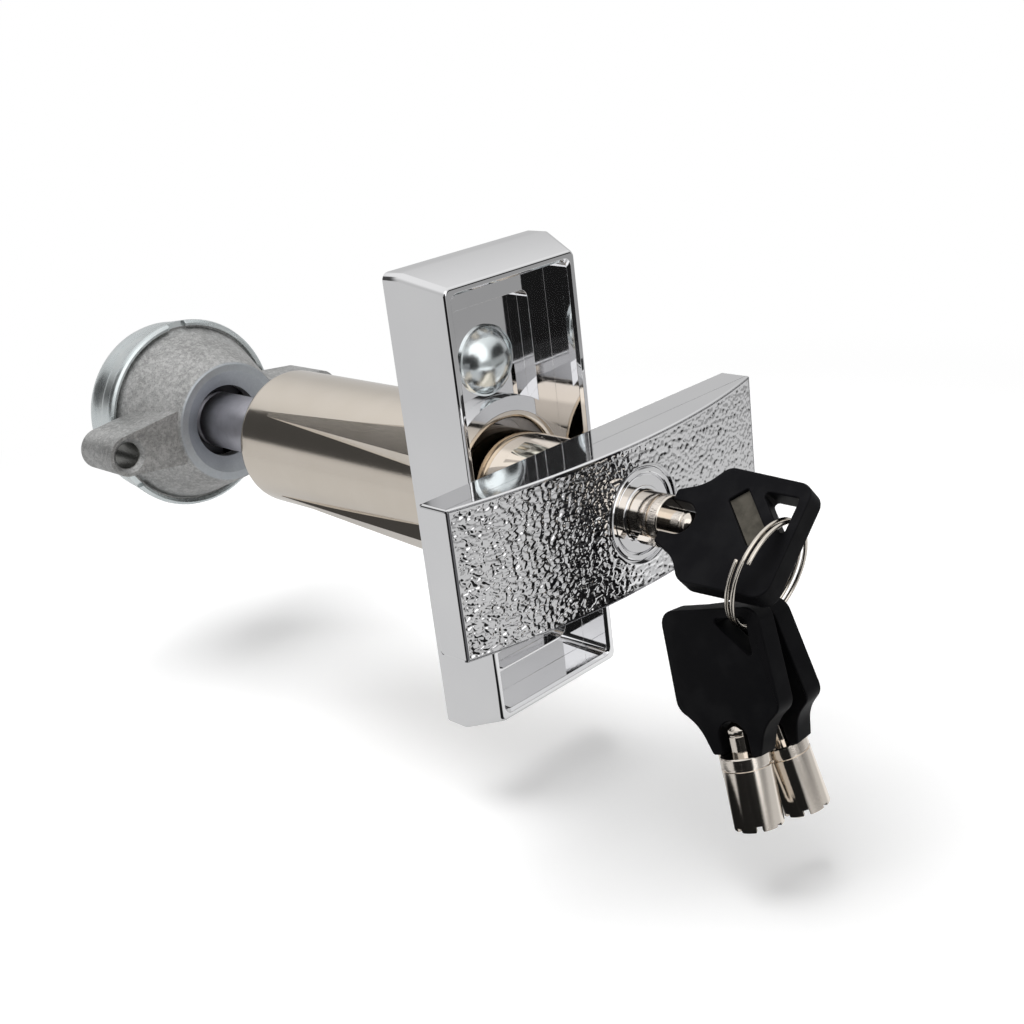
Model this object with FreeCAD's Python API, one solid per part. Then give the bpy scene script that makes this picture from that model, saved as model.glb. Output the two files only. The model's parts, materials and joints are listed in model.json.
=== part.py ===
import FreeCAD
import Part
import math
import os

# Pop-out T-handle lock: housing, turning handle, tubular key lock, keys and split-nut receiver.
# Millimetres. The origin is the centre of the housing's rear face, on the lock axis.
# +Y runs back into the cabinet, -Y points at the user, +X is right and +Z is up.

V = FreeCAD.Vector
ORIGIN = V(0, 0, 0)
AXIS_X = V(1, 0, 0)
AXIS_Y = V(0, 1, 0)
AXIS_Z = V(0, 0, 1)

# Fits, as gaps on the radius or on one face
PRESS_FIT = 0.02
RUN_FIT = 0.05
LOOSE_FIT = 0.15
FACE_GAP = 0.05
SPRING_GAP = 0.05
CUT_OVER = 1.0

# Escutcheon, the chromed front casting
ESC_FRONT_W = 36.4
ESC_FRONT_H = 93.4
ESC_FLARE = 3.1
ESC_BAND = 5.0
ESC_DEPTH = 14.3
ESC_CORNER_R = 0.8
RIM_W = 1.8
POCKET_DEPTH = 7.7
POCKET_R = 1.8
WELL_HALF_W = 11.0
WELL_END_Z = 39.8
WELL_DEPTH = 3.2
WELL_R = 2.0
BOSS_WALL = 1.0

# Barrel, the plated tube behind the escutcheon
BARREL_R = 16.4
BARREL_END_Y = 71.5
BARREL_BORE_R = 14.1
BARREL_END_WALL = 5.0
BARREL_ROUND = 2.6
COLLAR_R = 18.0
RIB_ANGLES = (40, 140, 220, 320)
RIB_RISE = 2.5
RIB_END_Y = 61.0
RIB_TOP_DEG = 10.0
RIB_FOOT_DEG = 19.0
RIB_TIP_W = 1.2
RIB_TIP_RISE = 0.1
RIB_ROOT = 1.0
RIB_KEY = 2.0

# Handle and its shank, one casting
HANDLE_L = 89.0
HANDLE_H = 30.0
HANDLE_GAP = 15.4
HANDLE_END_T = 7.3
HANDLE_MID_T = 14.0
HANDLE_EDGE_R = 0.7
SHANK_R = 11.9
SHANK_END_Y = 34.0
FLANGE_R = 13.9
FLANGE_T = 4.0
LOCK_SEAT_R = 11.0
LOCK_SEAT_DEPTH = 0.8
BAR_FLOOR_GAP = 0.4

# Bearings, catch and the pop-out spring
BUSH_FRONT_Y = 12.0
CATCH_T = 4.0
CATCH_R = 12.1
CATCH_GAP = 0.3
WASHER_T = 2.0
ROD_BUSH_WALL = 2.5
ROD_BUSH_LIP = 1.2
POP_WIRE = 1.4
POP_COIL_R = 12.1
POP_TURNS = 4.5

# Threaded rod
ROD_R = 7.25
ROD_FRONT_Y = 18.0
ROD_REAR_Y = 123.5
THREAD_START_Y = 97.0
THREAD_PITCH = 2.117
THREAD_DEPTH = 0.9
ROD_TIP = 1.2
CROSS_PIN_R = 1.5
CROSS_PIN_Y = 24.0
CROSS_PIN_SHORT = 0.1

# Tubular lock
SHELL_R = 9.45
SHELL_PROUD = 0.3
SHELL_EDGE = 0.5
FACE_RING_W = 0.8
FACE_STEP = 0.3
KEYWAY_GAP = 0.15
KEYWAY_DEPTH = 8.2
POST_R = 3.6
POST_SHORT = 0.2
PLUG_R = 6.6
PLUG_FLANGE = 5.0
SLEEVE_R = 8.0
SLEEVE_L = 11.0
SPINDLE_R = 2.5
SPINDLE_SEAT = 0.9
PIN_COUNT = 7
PIN_CIRCLE_R = 4.28
PIN_R = 0.62
DRIVER_L = 3.0
PIN_HOLE_DEPTH = 9.0
PIN_SPRING_WALL = 0.25
KEY_CUTS = (0.6, 1.4, 1.0, 0.4, 1.6, 0.8, 1.2)
KEEPER_R = 1.0
KEEPER_BACK = 8.0
KEEPER_SEAT = 0.7
KEEPER_SHORT = 0.1
SLEEVE_PIN_R = 0.8
SLEEVE_PIN_BACK = 5.0
SLEEVE_PIN_L = 2.6
CAP_T = 1.2

# Cam and latch
CAM_R = 4.2
CAM_T = 1.6
CAM_ECC = 2.8
CAM_PIN_R = 0.8
CAM_REST_DEG = 45.0
LATCH_W = 9.0
LATCH_T = 3.0
LATCH_REACH = 13.1
LATCH_TOP_Z = 1.6
LATCH_FIT = 0.06
LATCH_RAMP = 0.6
LATCH_SLACK = 0.15
LATCH_WIRE = 0.5
LATCH_COIL_R = 1.3
LATCH_TURNS = 3.5

# Key
TUBE_R = 4.8
TUBE_BORE_R = 3.72
TUBE_BORE_DEPTH = 9.0
TUBE_L = 14.3
GROOVE_DEPTH = 0.3
GROOVE_W = 0.6
GROOVE_AT = 2.6
TUBE_FRONT_GAP = 6.8
STUB_R = 2.9
STUB_L = 5.2
STUB_NOSE = 0.8
STUB_NOSE_R = 1.8
LUG_W = 1.6
LUG_R = 5.8
LUG_L = 4.6
LUG_AT = 0.4
DRIVE_RIB_W = 1.0
DRIVE_RIB_L = 3.5
DRIVE_RIB_RISE = 0.9
CUT_GAP = 0.15
BOW_T = 4.6
BOW_L = 28.4
BOW_SHOULDER_L = 9.0
BOW_NECK_W = 5.7
BOW_SHOULDER_W = 12.3
BOW_END_W = 11.7
BOW_NECK_SAG = 0.8
BOW_CORNER_R = 3.0
BOW_EDGE_R = 0.6
NOTCH_HALF_W = 3.4
NOTCH_L = 6.6
KEY_TURN = 42.0
HOLE_CORNER_W = 8.6
HOLE_CORNER_L = 26.4
HOLE_LEG = 8.2
HOLE_ROUND = 0.7
PLATE_L = 11.4
PLATE_W = 4.2
PLATE_T = 0.9
PLATE_AT_W = 3.0
PLATE_AT_L = 17.6
PLATE_RECESS = 1.5

# Split ring and the hanging keys
RING_R = 10.7
RING_WIRE = 0.8
RING_PITCH = 1.24
RING_TURNS = 2.0
RING_X = -0.6
RING_TOP_Z = 4.2
RING_WALL_GAP = 1.75
RING_LEAN = 12.4
RING_END_DEG = 145.0
SPARE_A_X = -4.9
SPARE_A_LEAN = 15.5
SPARE_A_SPLAY = 7.0
SPARE_A_HOOK = (6.5, 24.0)
SPARE_B_X = 1.5
SPARE_B_LEAN = 19.0
SPARE_B_SPLAY = -2.0
SPARE_B_HOOK = (6.9, 24.7)

# Receiver
REC_FRONT_Y = 97.3
REC_CONE_END_Y = 116.3
REC_FLANGE_T = 2.0
REC_FRONT_R = 15.6
REC_REAR_R = 23.2
REC_MOUTH_R = 13.4
REC_MOUTH_DEPTH = 2.7
REC_HOLE_R = 9.4
REC_WEB_T = 3.0
REC_CAVITY_FRONT_R = 12.4
REC_CAVITY_REAR_R = 20.2
EAR_PITCH = 61.0
EAR_R = 5.2
EAR_HOLE_R = 3.3
EAR_SINK = 1.1
EAR_FRONT_Y = 98.3
EAR_BACK_Y = 113.0
SEG_COUNT = 3
SEG_HALF_GAP = 0.6
SEG_FRONT_GAP = 0.6
SEG_L = 9.8
SEG_BORE_FIT = 0.08
SEG_CONE_FIT = 0.12
PUSHER_T = 1.6
PUSHER_FIT = 0.4
PUSHER_BORE_GAP = 2.2
COVER_R = 25.2
COVER_SHEET = 1.0
COVER_LIP_GAP = 0.5
COVER_BACK_Y = 135.5
COVER_ROUND = 9.0
COVER_SLOTS = (90, 210, 330)
COVER_SLOT_W = 5.0
SEG_WIRE = 1.3
SEG_COIL_R = 11.5
SEG_TURNS = 3.5

# Fixing bolt, washer and nut
STUD_Z = 27.0
HEAD_R = 7.5
HEAD_H = 4.4
STUD_R = 3.175
STUD_END_Y = 18.0
DOOR_T = 3.0
SQUARE = 6.35
SQUARE_GAP = 0.1
FIX_WASHER_R = 7.9
FIX_WASHER_T = 1.6
NUT_AF = 11.1
NUT_T = 5.6

# Places worked out from the sizes above
FRONT_Y = -ESC_DEPTH
FLOOR_Y = FRONT_Y + POCKET_DEPTH
WELL_Y = FLOOR_Y + WELL_DEPTH
BAR_BACK_Y = FRONT_Y - HANDLE_GAP
BAR_END_Y = BAR_BACK_Y - HANDLE_END_T
BAR_MID_Y = BAR_BACK_Y - HANDLE_MID_T
SEAT_Y = BAR_MID_Y + LOCK_SEAT_DEPTH
SHELL_Y = BAR_MID_Y + SHELL_PROUD
KEYWAY_R = TUBE_R + KEYWAY_GAP
KEYWAY_END_Y = SHELL_Y + KEYWAY_DEPTH
SHEAR_Y = KEYWAY_END_Y + PLUG_FLANGE
SLEEVE_END_Y = SHEAR_Y + SLEEVE_L
CAM_Y = SLEEVE_END_Y + FACE_GAP
LATCH_Y = CAM_Y + CAM_T + FACE_GAP
LATCH_END_Y = LATCH_Y + LATCH_T
CAP_Y = LATCH_END_Y + LATCH_FIT
SHELL_END_Y = CAP_Y + CAP_T
NECK_Y = SHELL_Y - TUBE_FRONT_GAP
MOUTH_Y = NECK_Y + TUBE_L
FULL_PUSH = FLOOR_Y - BAR_BACK_Y - BAR_FLOOR_GAP
CATCH_END_Y = LATCH_Y + FULL_PUSH - CATCH_GAP
FLANGE_Y = SHANK_END_Y - FLANGE_T
BORE_END_Y = BARREL_END_Y - BARREL_END_WALL
REC_MOUTH_Y = REC_FRONT_Y + REC_MOUTH_DEPTH
REC_CAVITY_Y = REC_MOUTH_Y + REC_WEB_T
SEG_FRONT_Y = REC_CAVITY_Y + SEG_FRONT_GAP
SEG_REAR_Y = SEG_FRONT_Y + SEG_L
REC_BACK_Y = REC_CONE_END_Y + REC_FLANGE_T
CAVITY_SLOPE = (REC_CAVITY_REAR_R - REC_CAVITY_FRONT_R) / (REC_BACK_Y - REC_CAVITY_Y)
parts = {}


def tube_y(r, y0, y1, bore=0.0, x=0.0, z=0.0):
    """A cylinder along Y from y0 to y1, with an optional bore right through."""
    body = Part.makeCylinder(r, y1 - y0, V(x, y0, z), AXIS_Y)
    if bore > 0:
        hole = Part.makeCylinder(bore, y1 - y0 + 2 * CUT_OVER, V(x, y0 - CUT_OVER, z), AXIS_Y)
        body = body.cut(hole)
    return body


def rod_x(r, x0, x1, y, z=0.0):
    """A cylinder along X from x0 to x1."""
    return Part.makeCylinder(r, x1 - x0, V(x0, y, z), AXIS_X)


def block(x0, x1, y0, y1, z0, z1):
    """A box between two corners."""
    return Part.makeBox(x1 - x0, y1 - y0, z1 - z0, V(x0, y0, z0))


def turned(profile):
    """A solid of revolution about the Y axis from (radius, y) points."""
    pts = [V(r, y, 0) for r, y in profile]
    face = Part.Face(Part.makePolygon(pts + [pts[0]]))
    return face.revolve(ORIGIN, AXIS_Y, 360)


def rounded_wire(half_w, half_h, r, y):
    """A rounded rectangle in the plane at y, centred on the axis."""
    inset = r * (1 - math.sqrt(0.5))
    arcs = []
    for sx, sz in ((1, 1), (-1, 1), (-1, -1), (1, -1)):
        on_side = V(sx * half_w, y, sz * (half_h - r))
        on_end = V(sx * (half_w - r), y, sz * half_h)
        middle = V(sx * (half_w - inset), y, sz * (half_h - inset))
        ends = (on_side, on_end) if sx * sz > 0 else (on_end, on_side)
        arcs.append(Part.Arc(ends[0], middle, ends[1]).toShape())
    edges = []
    for arc, following in zip(arcs, arcs[1:] + arcs[:1]):
        edges.append(arc)
        edges.append(Part.LineSegment(arc.Vertexes[-1].Point, following.Vertexes[0].Point).toShape())
    return Part.Wire(edges)


def slab(wire, depth):
    """A flat outline pushed along Y."""
    return Part.Face(wire).extrude(V(0, depth, 0))


def biarc(p0, t0, p1, t1):
    """Two arcs that join p0 to p1 and keep both end directions."""
    chord = p1 - p0
    a = 2 * (1 - t0.dot(t1))
    b = 2 * chord.dot(t0 + t1)
    c = -chord.dot(chord)
    d = (-b + math.sqrt(b * b - 4 * a * c)) / (2 * a)
    corner0 = p0 + t0 * d
    corner1 = p1 - t1 * d
    joint = (corner0 + corner1) * 0.5
    arcs = []
    for start, corner, end in ((p0, corner0, joint), (joint, corner1, p1)):
        middle = (start + end) * 0.5
        rise = corner - middle
        half_chord = (end - start).Length / 2
        sag = half_chord * math.tan(math.atan2(rise.Length, half_chord) / 2)
        arcs.append(Part.Arc(start, middle + rise.normalize() * sag, end).toShape())
    return arcs


def coil(name, radius, pitch, turns, wire):
    """A round-wire coil about Z from z = 0, swept along biarcs of a quarter turn each."""
    lead = pitch / (2 * math.pi)
    steps = round(turns * 4)

    def point(k):
        a = k * math.pi / 2
        return V(radius * math.cos(a), radius * math.sin(a), lead * a)

    def heading(k):
        a = k * math.pi / 2
        return V(-radius * math.sin(a), radius * math.cos(a), lead).normalize()

    edges = []
    for k in range(steps):
        edges += biarc(point(k), heading(k), point(k + 1), heading(k + 1))
    path = Part.Wire(edges)
    section = Part.Wire([Part.makeCircle(wire / 2, point(0), heading(0))])
    body = path.makePipeShell([section], True, False)
    per_turn = 160
    points = path.discretize(round(per_turn * turns))
    least = min((p - q).Length for i, p in enumerate(points) for q in points[i + per_turn // 2::3])
    print("%s: least gap between turns %.2f mm" % (name, least - wire))
    return body


def pin_places():
    """Centres (x, z) of the pins, the first one on the wide edge of the key."""
    places = []
    for k in range(PIN_COUNT):
        a = math.radians(KEY_TURN + 360 * k / PIN_COUNT)
        places.append((PIN_CIRCLE_R * math.cos(a), PIN_CIRCLE_R * math.sin(a)))
    return places


def make_escutcheon():
    """The front casting: flared sides, a rim, the handle pocket and two deeper wells."""
    front = rounded_wire(ESC_FRONT_W / 2, ESC_FRONT_H / 2, ESC_CORNER_R, FRONT_Y)
    wide = ESC_FRONT_W / 2 + ESC_FLARE
    tall = ESC_FRONT_H / 2 + ESC_FLARE
    shoulder = rounded_wire(wide, tall, ESC_CORNER_R + ESC_FLARE / 2, -ESC_BAND)
    body = Part.makeLoft([front, shoulder], True, True).fuse(slab(shoulder, ESC_BAND))
    pocket_w = ESC_FRONT_W / 2 - RIM_W
    pocket_h = ESC_FRONT_H / 2 - RIM_W
    pocket = rounded_wire(pocket_w, pocket_h, POCKET_R, FRONT_Y - CUT_OVER)
    well = rounded_wire(WELL_HALF_W, WELL_END_Z, WELL_R, FLOOR_Y - CUT_OVER)
    boss = tube_y(COLLAR_R + BOSS_WALL, FLOOR_Y, 0)
    wells = slab(well, WELL_DEPTH + CUT_OVER).cut(boss)
    body = body.cut(slab(pocket, POCKET_DEPTH + CUT_OVER)).cut(wells)
    # The collar is wider than the pocket, so its hole ends at the floor and the rim stays whole
    body = body.removeSplitter().cut(tube_y(COLLAR_R + PRESS_FIT, FLOOR_Y, CUT_OVER))
    # The ribs' front ends lie in notches in the rear face, which key the barrel
    for angle in RIB_ANGLES:
        body = body.cut(loft_of_ribs((rib_front(-RIB_KEY, PRESS_FIT), rib_front(CUT_OVER, PRESS_FIT)), angle))
    half = SQUARE / 2 + SQUARE_GAP
    square = block(-half, half, WELL_Y - CUT_OVER, CUT_OVER, STUD_Z - half, STUD_Z + half)
    parts["escutcheon"] = body.cut(square)


def rib_front(y, grow=0.0):
    """A rib's full section in the plane at y: its place, top radius and half widths."""
    top_r = BARREL_R + RIB_RISE
    top_half = top_r * math.sin(math.radians(RIB_TOP_DEG))
    foot_half = BARREL_R * math.sin(math.radians(RIB_FOOT_DEG))
    return y, top_r + grow, top_half + grow, foot_half + grow


def loft_of_ribs(rows, angle):
    """A solid through trapezoid sections that stand on the barrel's wall, turned to its angle."""
    sections = []
    root = BARREL_BORE_R + RIB_ROOT
    for y, top_r, top_half, foot_half in rows:
        pts = [V(root, y, -foot_half), V(top_r, y, -top_half), V(top_r, y, top_half), V(root, y, foot_half)]
        sections.append(Part.makePolygon(pts + [pts[0]]))
    rib = Part.makeLoft(sections, True, True)
    rib.rotate(ORIGIN, AXIS_Y, -angle)
    return rib


def make_rib(angle):
    """One tapered rib, keyed in the escutcheon at the front and run out to nothing at the rear."""
    tip = (RIB_END_Y, BARREL_R + RIB_TIP_RISE, RIB_TIP_W / 2, RIB_TIP_W / 2)
    return loft_of_ribs((rib_front(-RIB_KEY), rib_front(0.0)), angle).fuse(
        loft_of_ribs((rib_front(0.0), tip), angle))


def make_barrel():
    """The tube that carries the handle, with a collar in the escutcheon and four ribs."""
    mid_round = BARREL_ROUND * (1 - math.sqrt(0.5))
    edge = Part.Wire([
        Part.LineSegment(V(0, FLOOR_Y, 0), V(COLLAR_R, FLOOR_Y, 0)).toShape(),
        Part.LineSegment(V(COLLAR_R, FLOOR_Y, 0), V(COLLAR_R, 0, 0)).toShape(),
        Part.LineSegment(V(COLLAR_R, 0, 0), V(BARREL_R, 0, 0)).toShape(),
        Part.LineSegment(V(BARREL_R, 0, 0), V(BARREL_R, BARREL_END_Y - BARREL_ROUND, 0)).toShape(),
        Part.Arc(V(BARREL_R, BARREL_END_Y - BARREL_ROUND, 0),
                 V(BARREL_R - mid_round, BARREL_END_Y - mid_round, 0),
                 V(BARREL_R - BARREL_ROUND, BARREL_END_Y, 0)).toShape(),
        Part.LineSegment(V(BARREL_R - BARREL_ROUND, BARREL_END_Y, 0), V(0, BARREL_END_Y, 0)).toShape(),
        Part.LineSegment(V(0, BARREL_END_Y, 0), V(0, FLOOR_Y, 0)).toShape(),
    ])
    body = Part.Face(edge).revolve(ORIGIN, AXIS_Y, 360)
    for angle in RIB_ANGLES:
        body = body.fuse(make_rib(angle))
    body = body.cut(tube_y(BARREL_BORE_R, FLOOR_Y - CUT_OVER, BORE_END_Y))
    body = body.cut(tube_y(ROD_R + ROD_BUSH_WALL, BORE_END_Y - CUT_OVER, BARREL_END_Y + CUT_OVER))
    parts["barrel"] = body


def make_bearings():
    """Catch ring, two bushes and the thrust washer that the spring pushes on."""
    in_barrel = BARREL_BORE_R - PRESS_FIT
    parts["catch_ring"] = tube_y(in_barrel, CATCH_END_Y - CATCH_T, CATCH_END_Y, CATCH_R)
    parts["guide_bush"] = tube_y(in_barrel, BUSH_FRONT_Y, FLANGE_Y, SHANK_R + RUN_FIT)
    sleeve = tube_y(ROD_R + ROD_BUSH_WALL - PRESS_FIT, BORE_END_Y, BARREL_END_Y, ROD_R + RUN_FIT)
    lip = tube_y(ROD_R + ROD_BUSH_WALL + ROD_BUSH_LIP, BORE_END_Y - ROD_BUSH_LIP, BORE_END_Y, ROD_R + RUN_FIT)
    parts["rod_bush"] = sleeve.fuse(lip).removeSplitter()
    parts["thrust_washer"] = tube_y(BARREL_BORE_R - RUN_FIT, SHANK_END_Y, SHANK_END_Y + WASHER_T,
                                    ROD_R + RUN_FIT)


def lay_along_y(shape, start):
    """Turns a coil about Z so that it runs along Y from start."""
    shape.rotate(ORIGIN, AXIS_X, -90)
    shape.translate(V(0, start, 0))
    return shape


def make_pop_spring():
    """The spring that pops the handle out when the lock lets it go."""
    start = SHANK_END_Y + WASHER_T + POP_WIRE / 2 + SPRING_GAP
    end = BORE_END_Y - POP_WIRE / 2 - SPRING_GAP
    spring = coil("pop_out_spring", POP_COIL_R, (end - start) / POP_TURNS, POP_TURNS, POP_WIRE)
    parts["pop_out_spring"] = lay_along_y(spring, start)


def make_handle():
    """The bar with its bowed front, and the shank that turns inside the barrel."""
    half = HANDLE_L / 2
    outline = Part.Wire([
        Part.LineSegment(V(half, BAR_BACK_Y, 0), V(-half, BAR_BACK_Y, 0)).toShape(),
        Part.LineSegment(V(-half, BAR_BACK_Y, 0), V(-half, BAR_END_Y, 0)).toShape(),
        Part.Arc(V(-half, BAR_END_Y, 0), V(0, BAR_MID_Y, 0), V(half, BAR_END_Y, 0)).toShape(),
        Part.LineSegment(V(half, BAR_END_Y, 0), V(half, BAR_BACK_Y, 0)).toShape(),
    ])
    bar = Part.Face(outline).extrude(V(0, 0, HANDLE_H))
    bar.translate(V(0, 0, -HANDLE_H / 2))
    bar = bar.makeFillet(HANDLE_EDGE_R, bar.Edges)
    body = bar.fuse(tube_y(SHANK_R, BAR_BACK_Y - CUT_OVER, SHANK_END_Y))
    body = body.fuse(tube_y(FLANGE_R, FLANGE_Y, SHANK_END_Y)).removeSplitter()
    body = body.cut(tube_y(LOCK_SEAT_R, BAR_MID_Y - CUT_OVER, SEAT_Y))
    body = body.cut(tube_y(SHELL_R + RUN_FIT, BAR_MID_Y - CUT_OVER, SHELL_END_Y))
    body = body.cut(tube_y(ROD_R + PRESS_FIT, ROD_FRONT_Y, SHANK_END_Y + CUT_OVER))
    body = body.cut(rod_x(CROSS_PIN_R, -FLANGE_R, FLANGE_R, CROSS_PIN_Y))
    body = body.cut(rod_x(KEEPER_R, SHELL_R - KEEPER_SEAT, SHANK_R + CUT_OVER, SLEEVE_END_Y - KEEPER_BACK))
    half = LATCH_W / 2 + LATCH_FIT
    slot = block(-half, half, LATCH_Y - LATCH_FIT, LATCH_END_Y + LATCH_FIT, -SHANK_R - CUT_OVER, -SHELL_R / 2)
    parts["t_handle"] = body.cut(slot)


def make_rod():
    """The rod pinned into the shank, with its thread shown as rings inside the receiver."""
    profile = [(0, ROD_FRONT_Y), (ROD_R, ROD_FRONT_Y), (ROD_R, THREAD_START_Y)]
    count = int((ROD_REAR_Y - THREAD_START_Y - ROD_TIP) / THREAD_PITCH)
    for k in range(count):
        y = THREAD_START_Y + k * THREAD_PITCH
        profile.append((ROD_R, y + THREAD_PITCH * 0.15))
        profile.append((ROD_R - THREAD_DEPTH, y + THREAD_PITCH * 0.5))
        profile.append((ROD_R, y + THREAD_PITCH * 0.85))
    profile += [(ROD_R, ROD_REAR_Y - ROD_TIP), (ROD_R - ROD_TIP, ROD_REAR_Y), (0, ROD_REAR_Y)]
    parts["threaded_rod"] = turned(profile).cut(rod_x(CROSS_PIN_R, -2 * ROD_R, 2 * ROD_R, CROSS_PIN_Y))
    reach = SHANK_R - CROSS_PIN_SHORT
    parts["rod_cross_pin"] = rod_x(CROSS_PIN_R - PRESS_FIT, -reach, reach, CROSS_PIN_Y)


def make_lock_shell():
    """The lock's body with its keyway, its rear cap and the pins that hold it together."""
    shell = turned([(0, SHELL_Y), (SHELL_R - SHELL_EDGE, SHELL_Y), (SHELL_R, SHELL_Y + SHELL_EDGE),
                    (SHELL_R, SHELL_END_Y), (0, SHELL_END_Y)])
    dish = tube_y(SHELL_R - SHELL_EDGE - FACE_RING_W, SHELL_Y - CUT_OVER, SHELL_Y + FACE_STEP,
                  KEYWAY_R + FACE_RING_W)
    shell = shell.cut(dish)
    shell = shell.cut(tube_y(KEYWAY_R, SHELL_Y - CUT_OVER, KEYWAY_END_Y + CUT_OVER))
    shell = shell.cut(tube_y(PLUG_R + RUN_FIT, KEYWAY_END_Y, SHEAR_Y + CUT_OVER))
    shell = shell.cut(tube_y(SLEEVE_R + PRESS_FIT, SHEAR_Y, SHELL_END_Y + CUT_OVER))
    half = LATCH_W / 2 + LATCH_FIT
    slot = block(-half, half, LATCH_Y - LATCH_FIT, LATCH_END_Y + LATCH_FIT, -SHELL_R - CUT_OVER, -SHELL_R / 2)
    pin_y = SLEEVE_END_Y - SLEEVE_PIN_BACK
    keeper_y = SLEEVE_END_Y - KEEPER_BACK
    pin_end = SLEEVE_PIN_L - SHELL_R
    shell = shell.cut(slot)
    shell = shell.cut(rod_x(SLEEVE_PIN_R, -SHELL_R - CUT_OVER, pin_end, pin_y))
    shell = shell.cut(rod_x(KEEPER_R, SHELL_R - KEEPER_SEAT, SHELL_R + CUT_OVER, keeper_y))
    notch = block(-LUG_R - RUN_FIT, 0, SHELL_Y - CUT_OVER, SHELL_Y + LUG_W, -LUG_W / 2, LUG_W / 2)
    notch.rotate(ORIGIN, AXIS_Y, -KEY_TURN)
    parts["lock_shell"] = shell.cut(notch)
    parts["lock_rear_cap"] = tube_y(SLEEVE_R, CAP_Y, SHELL_END_Y)
    parts["lock_retaining_pin"] = rod_x(KEEPER_R - PRESS_FIT, SHELL_R - KEEPER_SEAT + KEEPER_SHORT,
                                        SHANK_R - KEEPER_SHORT, keeper_y)
    parts["sleeve_pin"] = rod_x(SLEEVE_PIN_R - PRESS_FIT, -SHELL_R + PRESS_FIT, pin_end - KEEPER_SHORT, pin_y)


def make_pins():
    """The turning plug, the fixed sleeve behind it, and the two pins and spring of each hole."""
    pin_end = SLEEVE_PIN_L - SHELL_R
    sleeve = tube_y(SLEEVE_R, SHEAR_Y, SLEEVE_END_Y, SPINDLE_R + RUN_FIT)
    sleeve = sleeve.cut(rod_x(SLEEVE_PIN_R, -SHELL_R, pin_end, SLEEVE_END_Y - SLEEVE_PIN_BACK))
    plug = tube_y(POST_R, SHELL_Y + POST_SHORT, KEYWAY_END_Y + CUT_OVER)
    plug = plug.fuse(tube_y(PLUG_R, KEYWAY_END_Y + PRESS_FIT, SHEAR_Y - PRESS_FIT))
    plug = plug.fuse(tube_y(SPINDLE_R, SHEAR_Y - CUT_OVER, CAM_Y + SPINDLE_SEAT - PRESS_FIT))
    groove_half = DRIVE_RIB_W / 2 + LOOSE_FIT
    groove = block(-TUBE_R, -TUBE_BORE_R + DRIVE_RIB_RISE + LOOSE_FIT, SHELL_Y - CUT_OVER,
                   KEYWAY_END_Y, -groove_half, groove_half)
    groove.rotate(ORIGIN, AXIS_Y, -KEY_TURN)
    plug = plug.cut(groove)
    hole_r = PIN_R + RUN_FIT
    key_pins = []
    drivers = []
    springs = []
    for (x, z), cut in zip(pin_places(), KEY_CUTS):
        sleeve = sleeve.cut(tube_y(hole_r, SHEAR_Y - CUT_OVER, SHEAR_Y + PIN_HOLE_DEPTH, x=x, z=z))
        plug = plug.cut(tube_y(hole_r, KEYWAY_END_Y - CUT_OVER, SHEAR_Y + CUT_OVER, x=x, z=z))
        key_pins.append(tube_y(PIN_R, MOUTH_Y - cut + FACE_GAP, SHEAR_Y - FACE_GAP, x=x, z=z))
        drivers.append(tube_y(PIN_R, SHEAR_Y, SHEAR_Y + DRIVER_L, x=x, z=z))
        springs.append(tube_y(PIN_R - RUN_FIT, SHEAR_Y + DRIVER_L + FACE_GAP,
                              SHEAR_Y + PIN_HOLE_DEPTH - FACE_GAP, PIN_R - PIN_SPRING_WALL, x=x, z=z))
    parts["plug"] = plug
    parts["pin_sleeve"] = sleeve
    parts["key_pins"] = Part.makeCompound(key_pins)
    parts["driver_pins"] = Part.makeCompound(drivers)
    parts["driver_springs"] = Part.makeCompound(springs)


def make_latch():
    """The cam on the plug's spindle and the sprung latch that it draws in."""
    angle = math.radians(CAM_REST_DEG)
    pin_x = -CAM_ECC * math.sin(angle)
    pin_z = -CAM_ECC * math.cos(angle)
    cam = tube_y(CAM_R, CAM_Y, CAM_Y + CAM_T)
    cam = cam.cut(tube_y(SPINDLE_R + PRESS_FIT, CAM_Y - CUT_OVER, CAM_Y + SPINDLE_SEAT))
    crank = tube_y(CAM_PIN_R, CAM_Y + SPINDLE_SEAT + RUN_FIT, LATCH_END_Y, x=pin_x, z=pin_z)
    parts["latch_cam"] = cam.fuse(crank).removeSplitter()
    latch = block(-LATCH_W / 2, LATCH_W / 2, LATCH_Y, LATCH_END_Y, -LATCH_REACH, LATCH_TOP_Z)
    reach = CAM_PIN_R + LATCH_SLACK
    window = block(-CAM_ECC - reach, pin_x + reach, LATCH_Y - CUT_OVER, LATCH_END_Y + CUT_OVER,
                   pin_z - reach, pin_z + reach)
    ramp = [V(0, LATCH_Y, -LATCH_REACH), V(0, LATCH_END_Y, -LATCH_REACH),
            V(0, LATCH_END_Y, -LATCH_REACH + LATCH_T * LATCH_RAMP)]
    wedge = Part.Face(Part.makePolygon(ramp + [ramp[0]])).extrude(V(2 * LATCH_W, 0, 0))
    wedge.translate(V(-LATCH_W, 0, 0))
    parts["latch_bolt"] = latch.cut(window).cut(wedge)
    start = LATCH_TOP_Z + LATCH_WIRE / 2 + SPRING_GAP
    outer = LATCH_COIL_R + LATCH_WIRE / 2
    end = math.sqrt(SLEEVE_R ** 2 - outer ** 2) - LATCH_WIRE / 2 - SPRING_GAP
    spring = coil("latch_spring", LATCH_COIL_R, (end - start) / LATCH_TURNS, LATCH_TURNS, LATCH_WIRE)
    spring.translate(V(0, LATCH_Y + LATCH_T / 2, start))
    parts["latch_spring"] = spring


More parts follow.
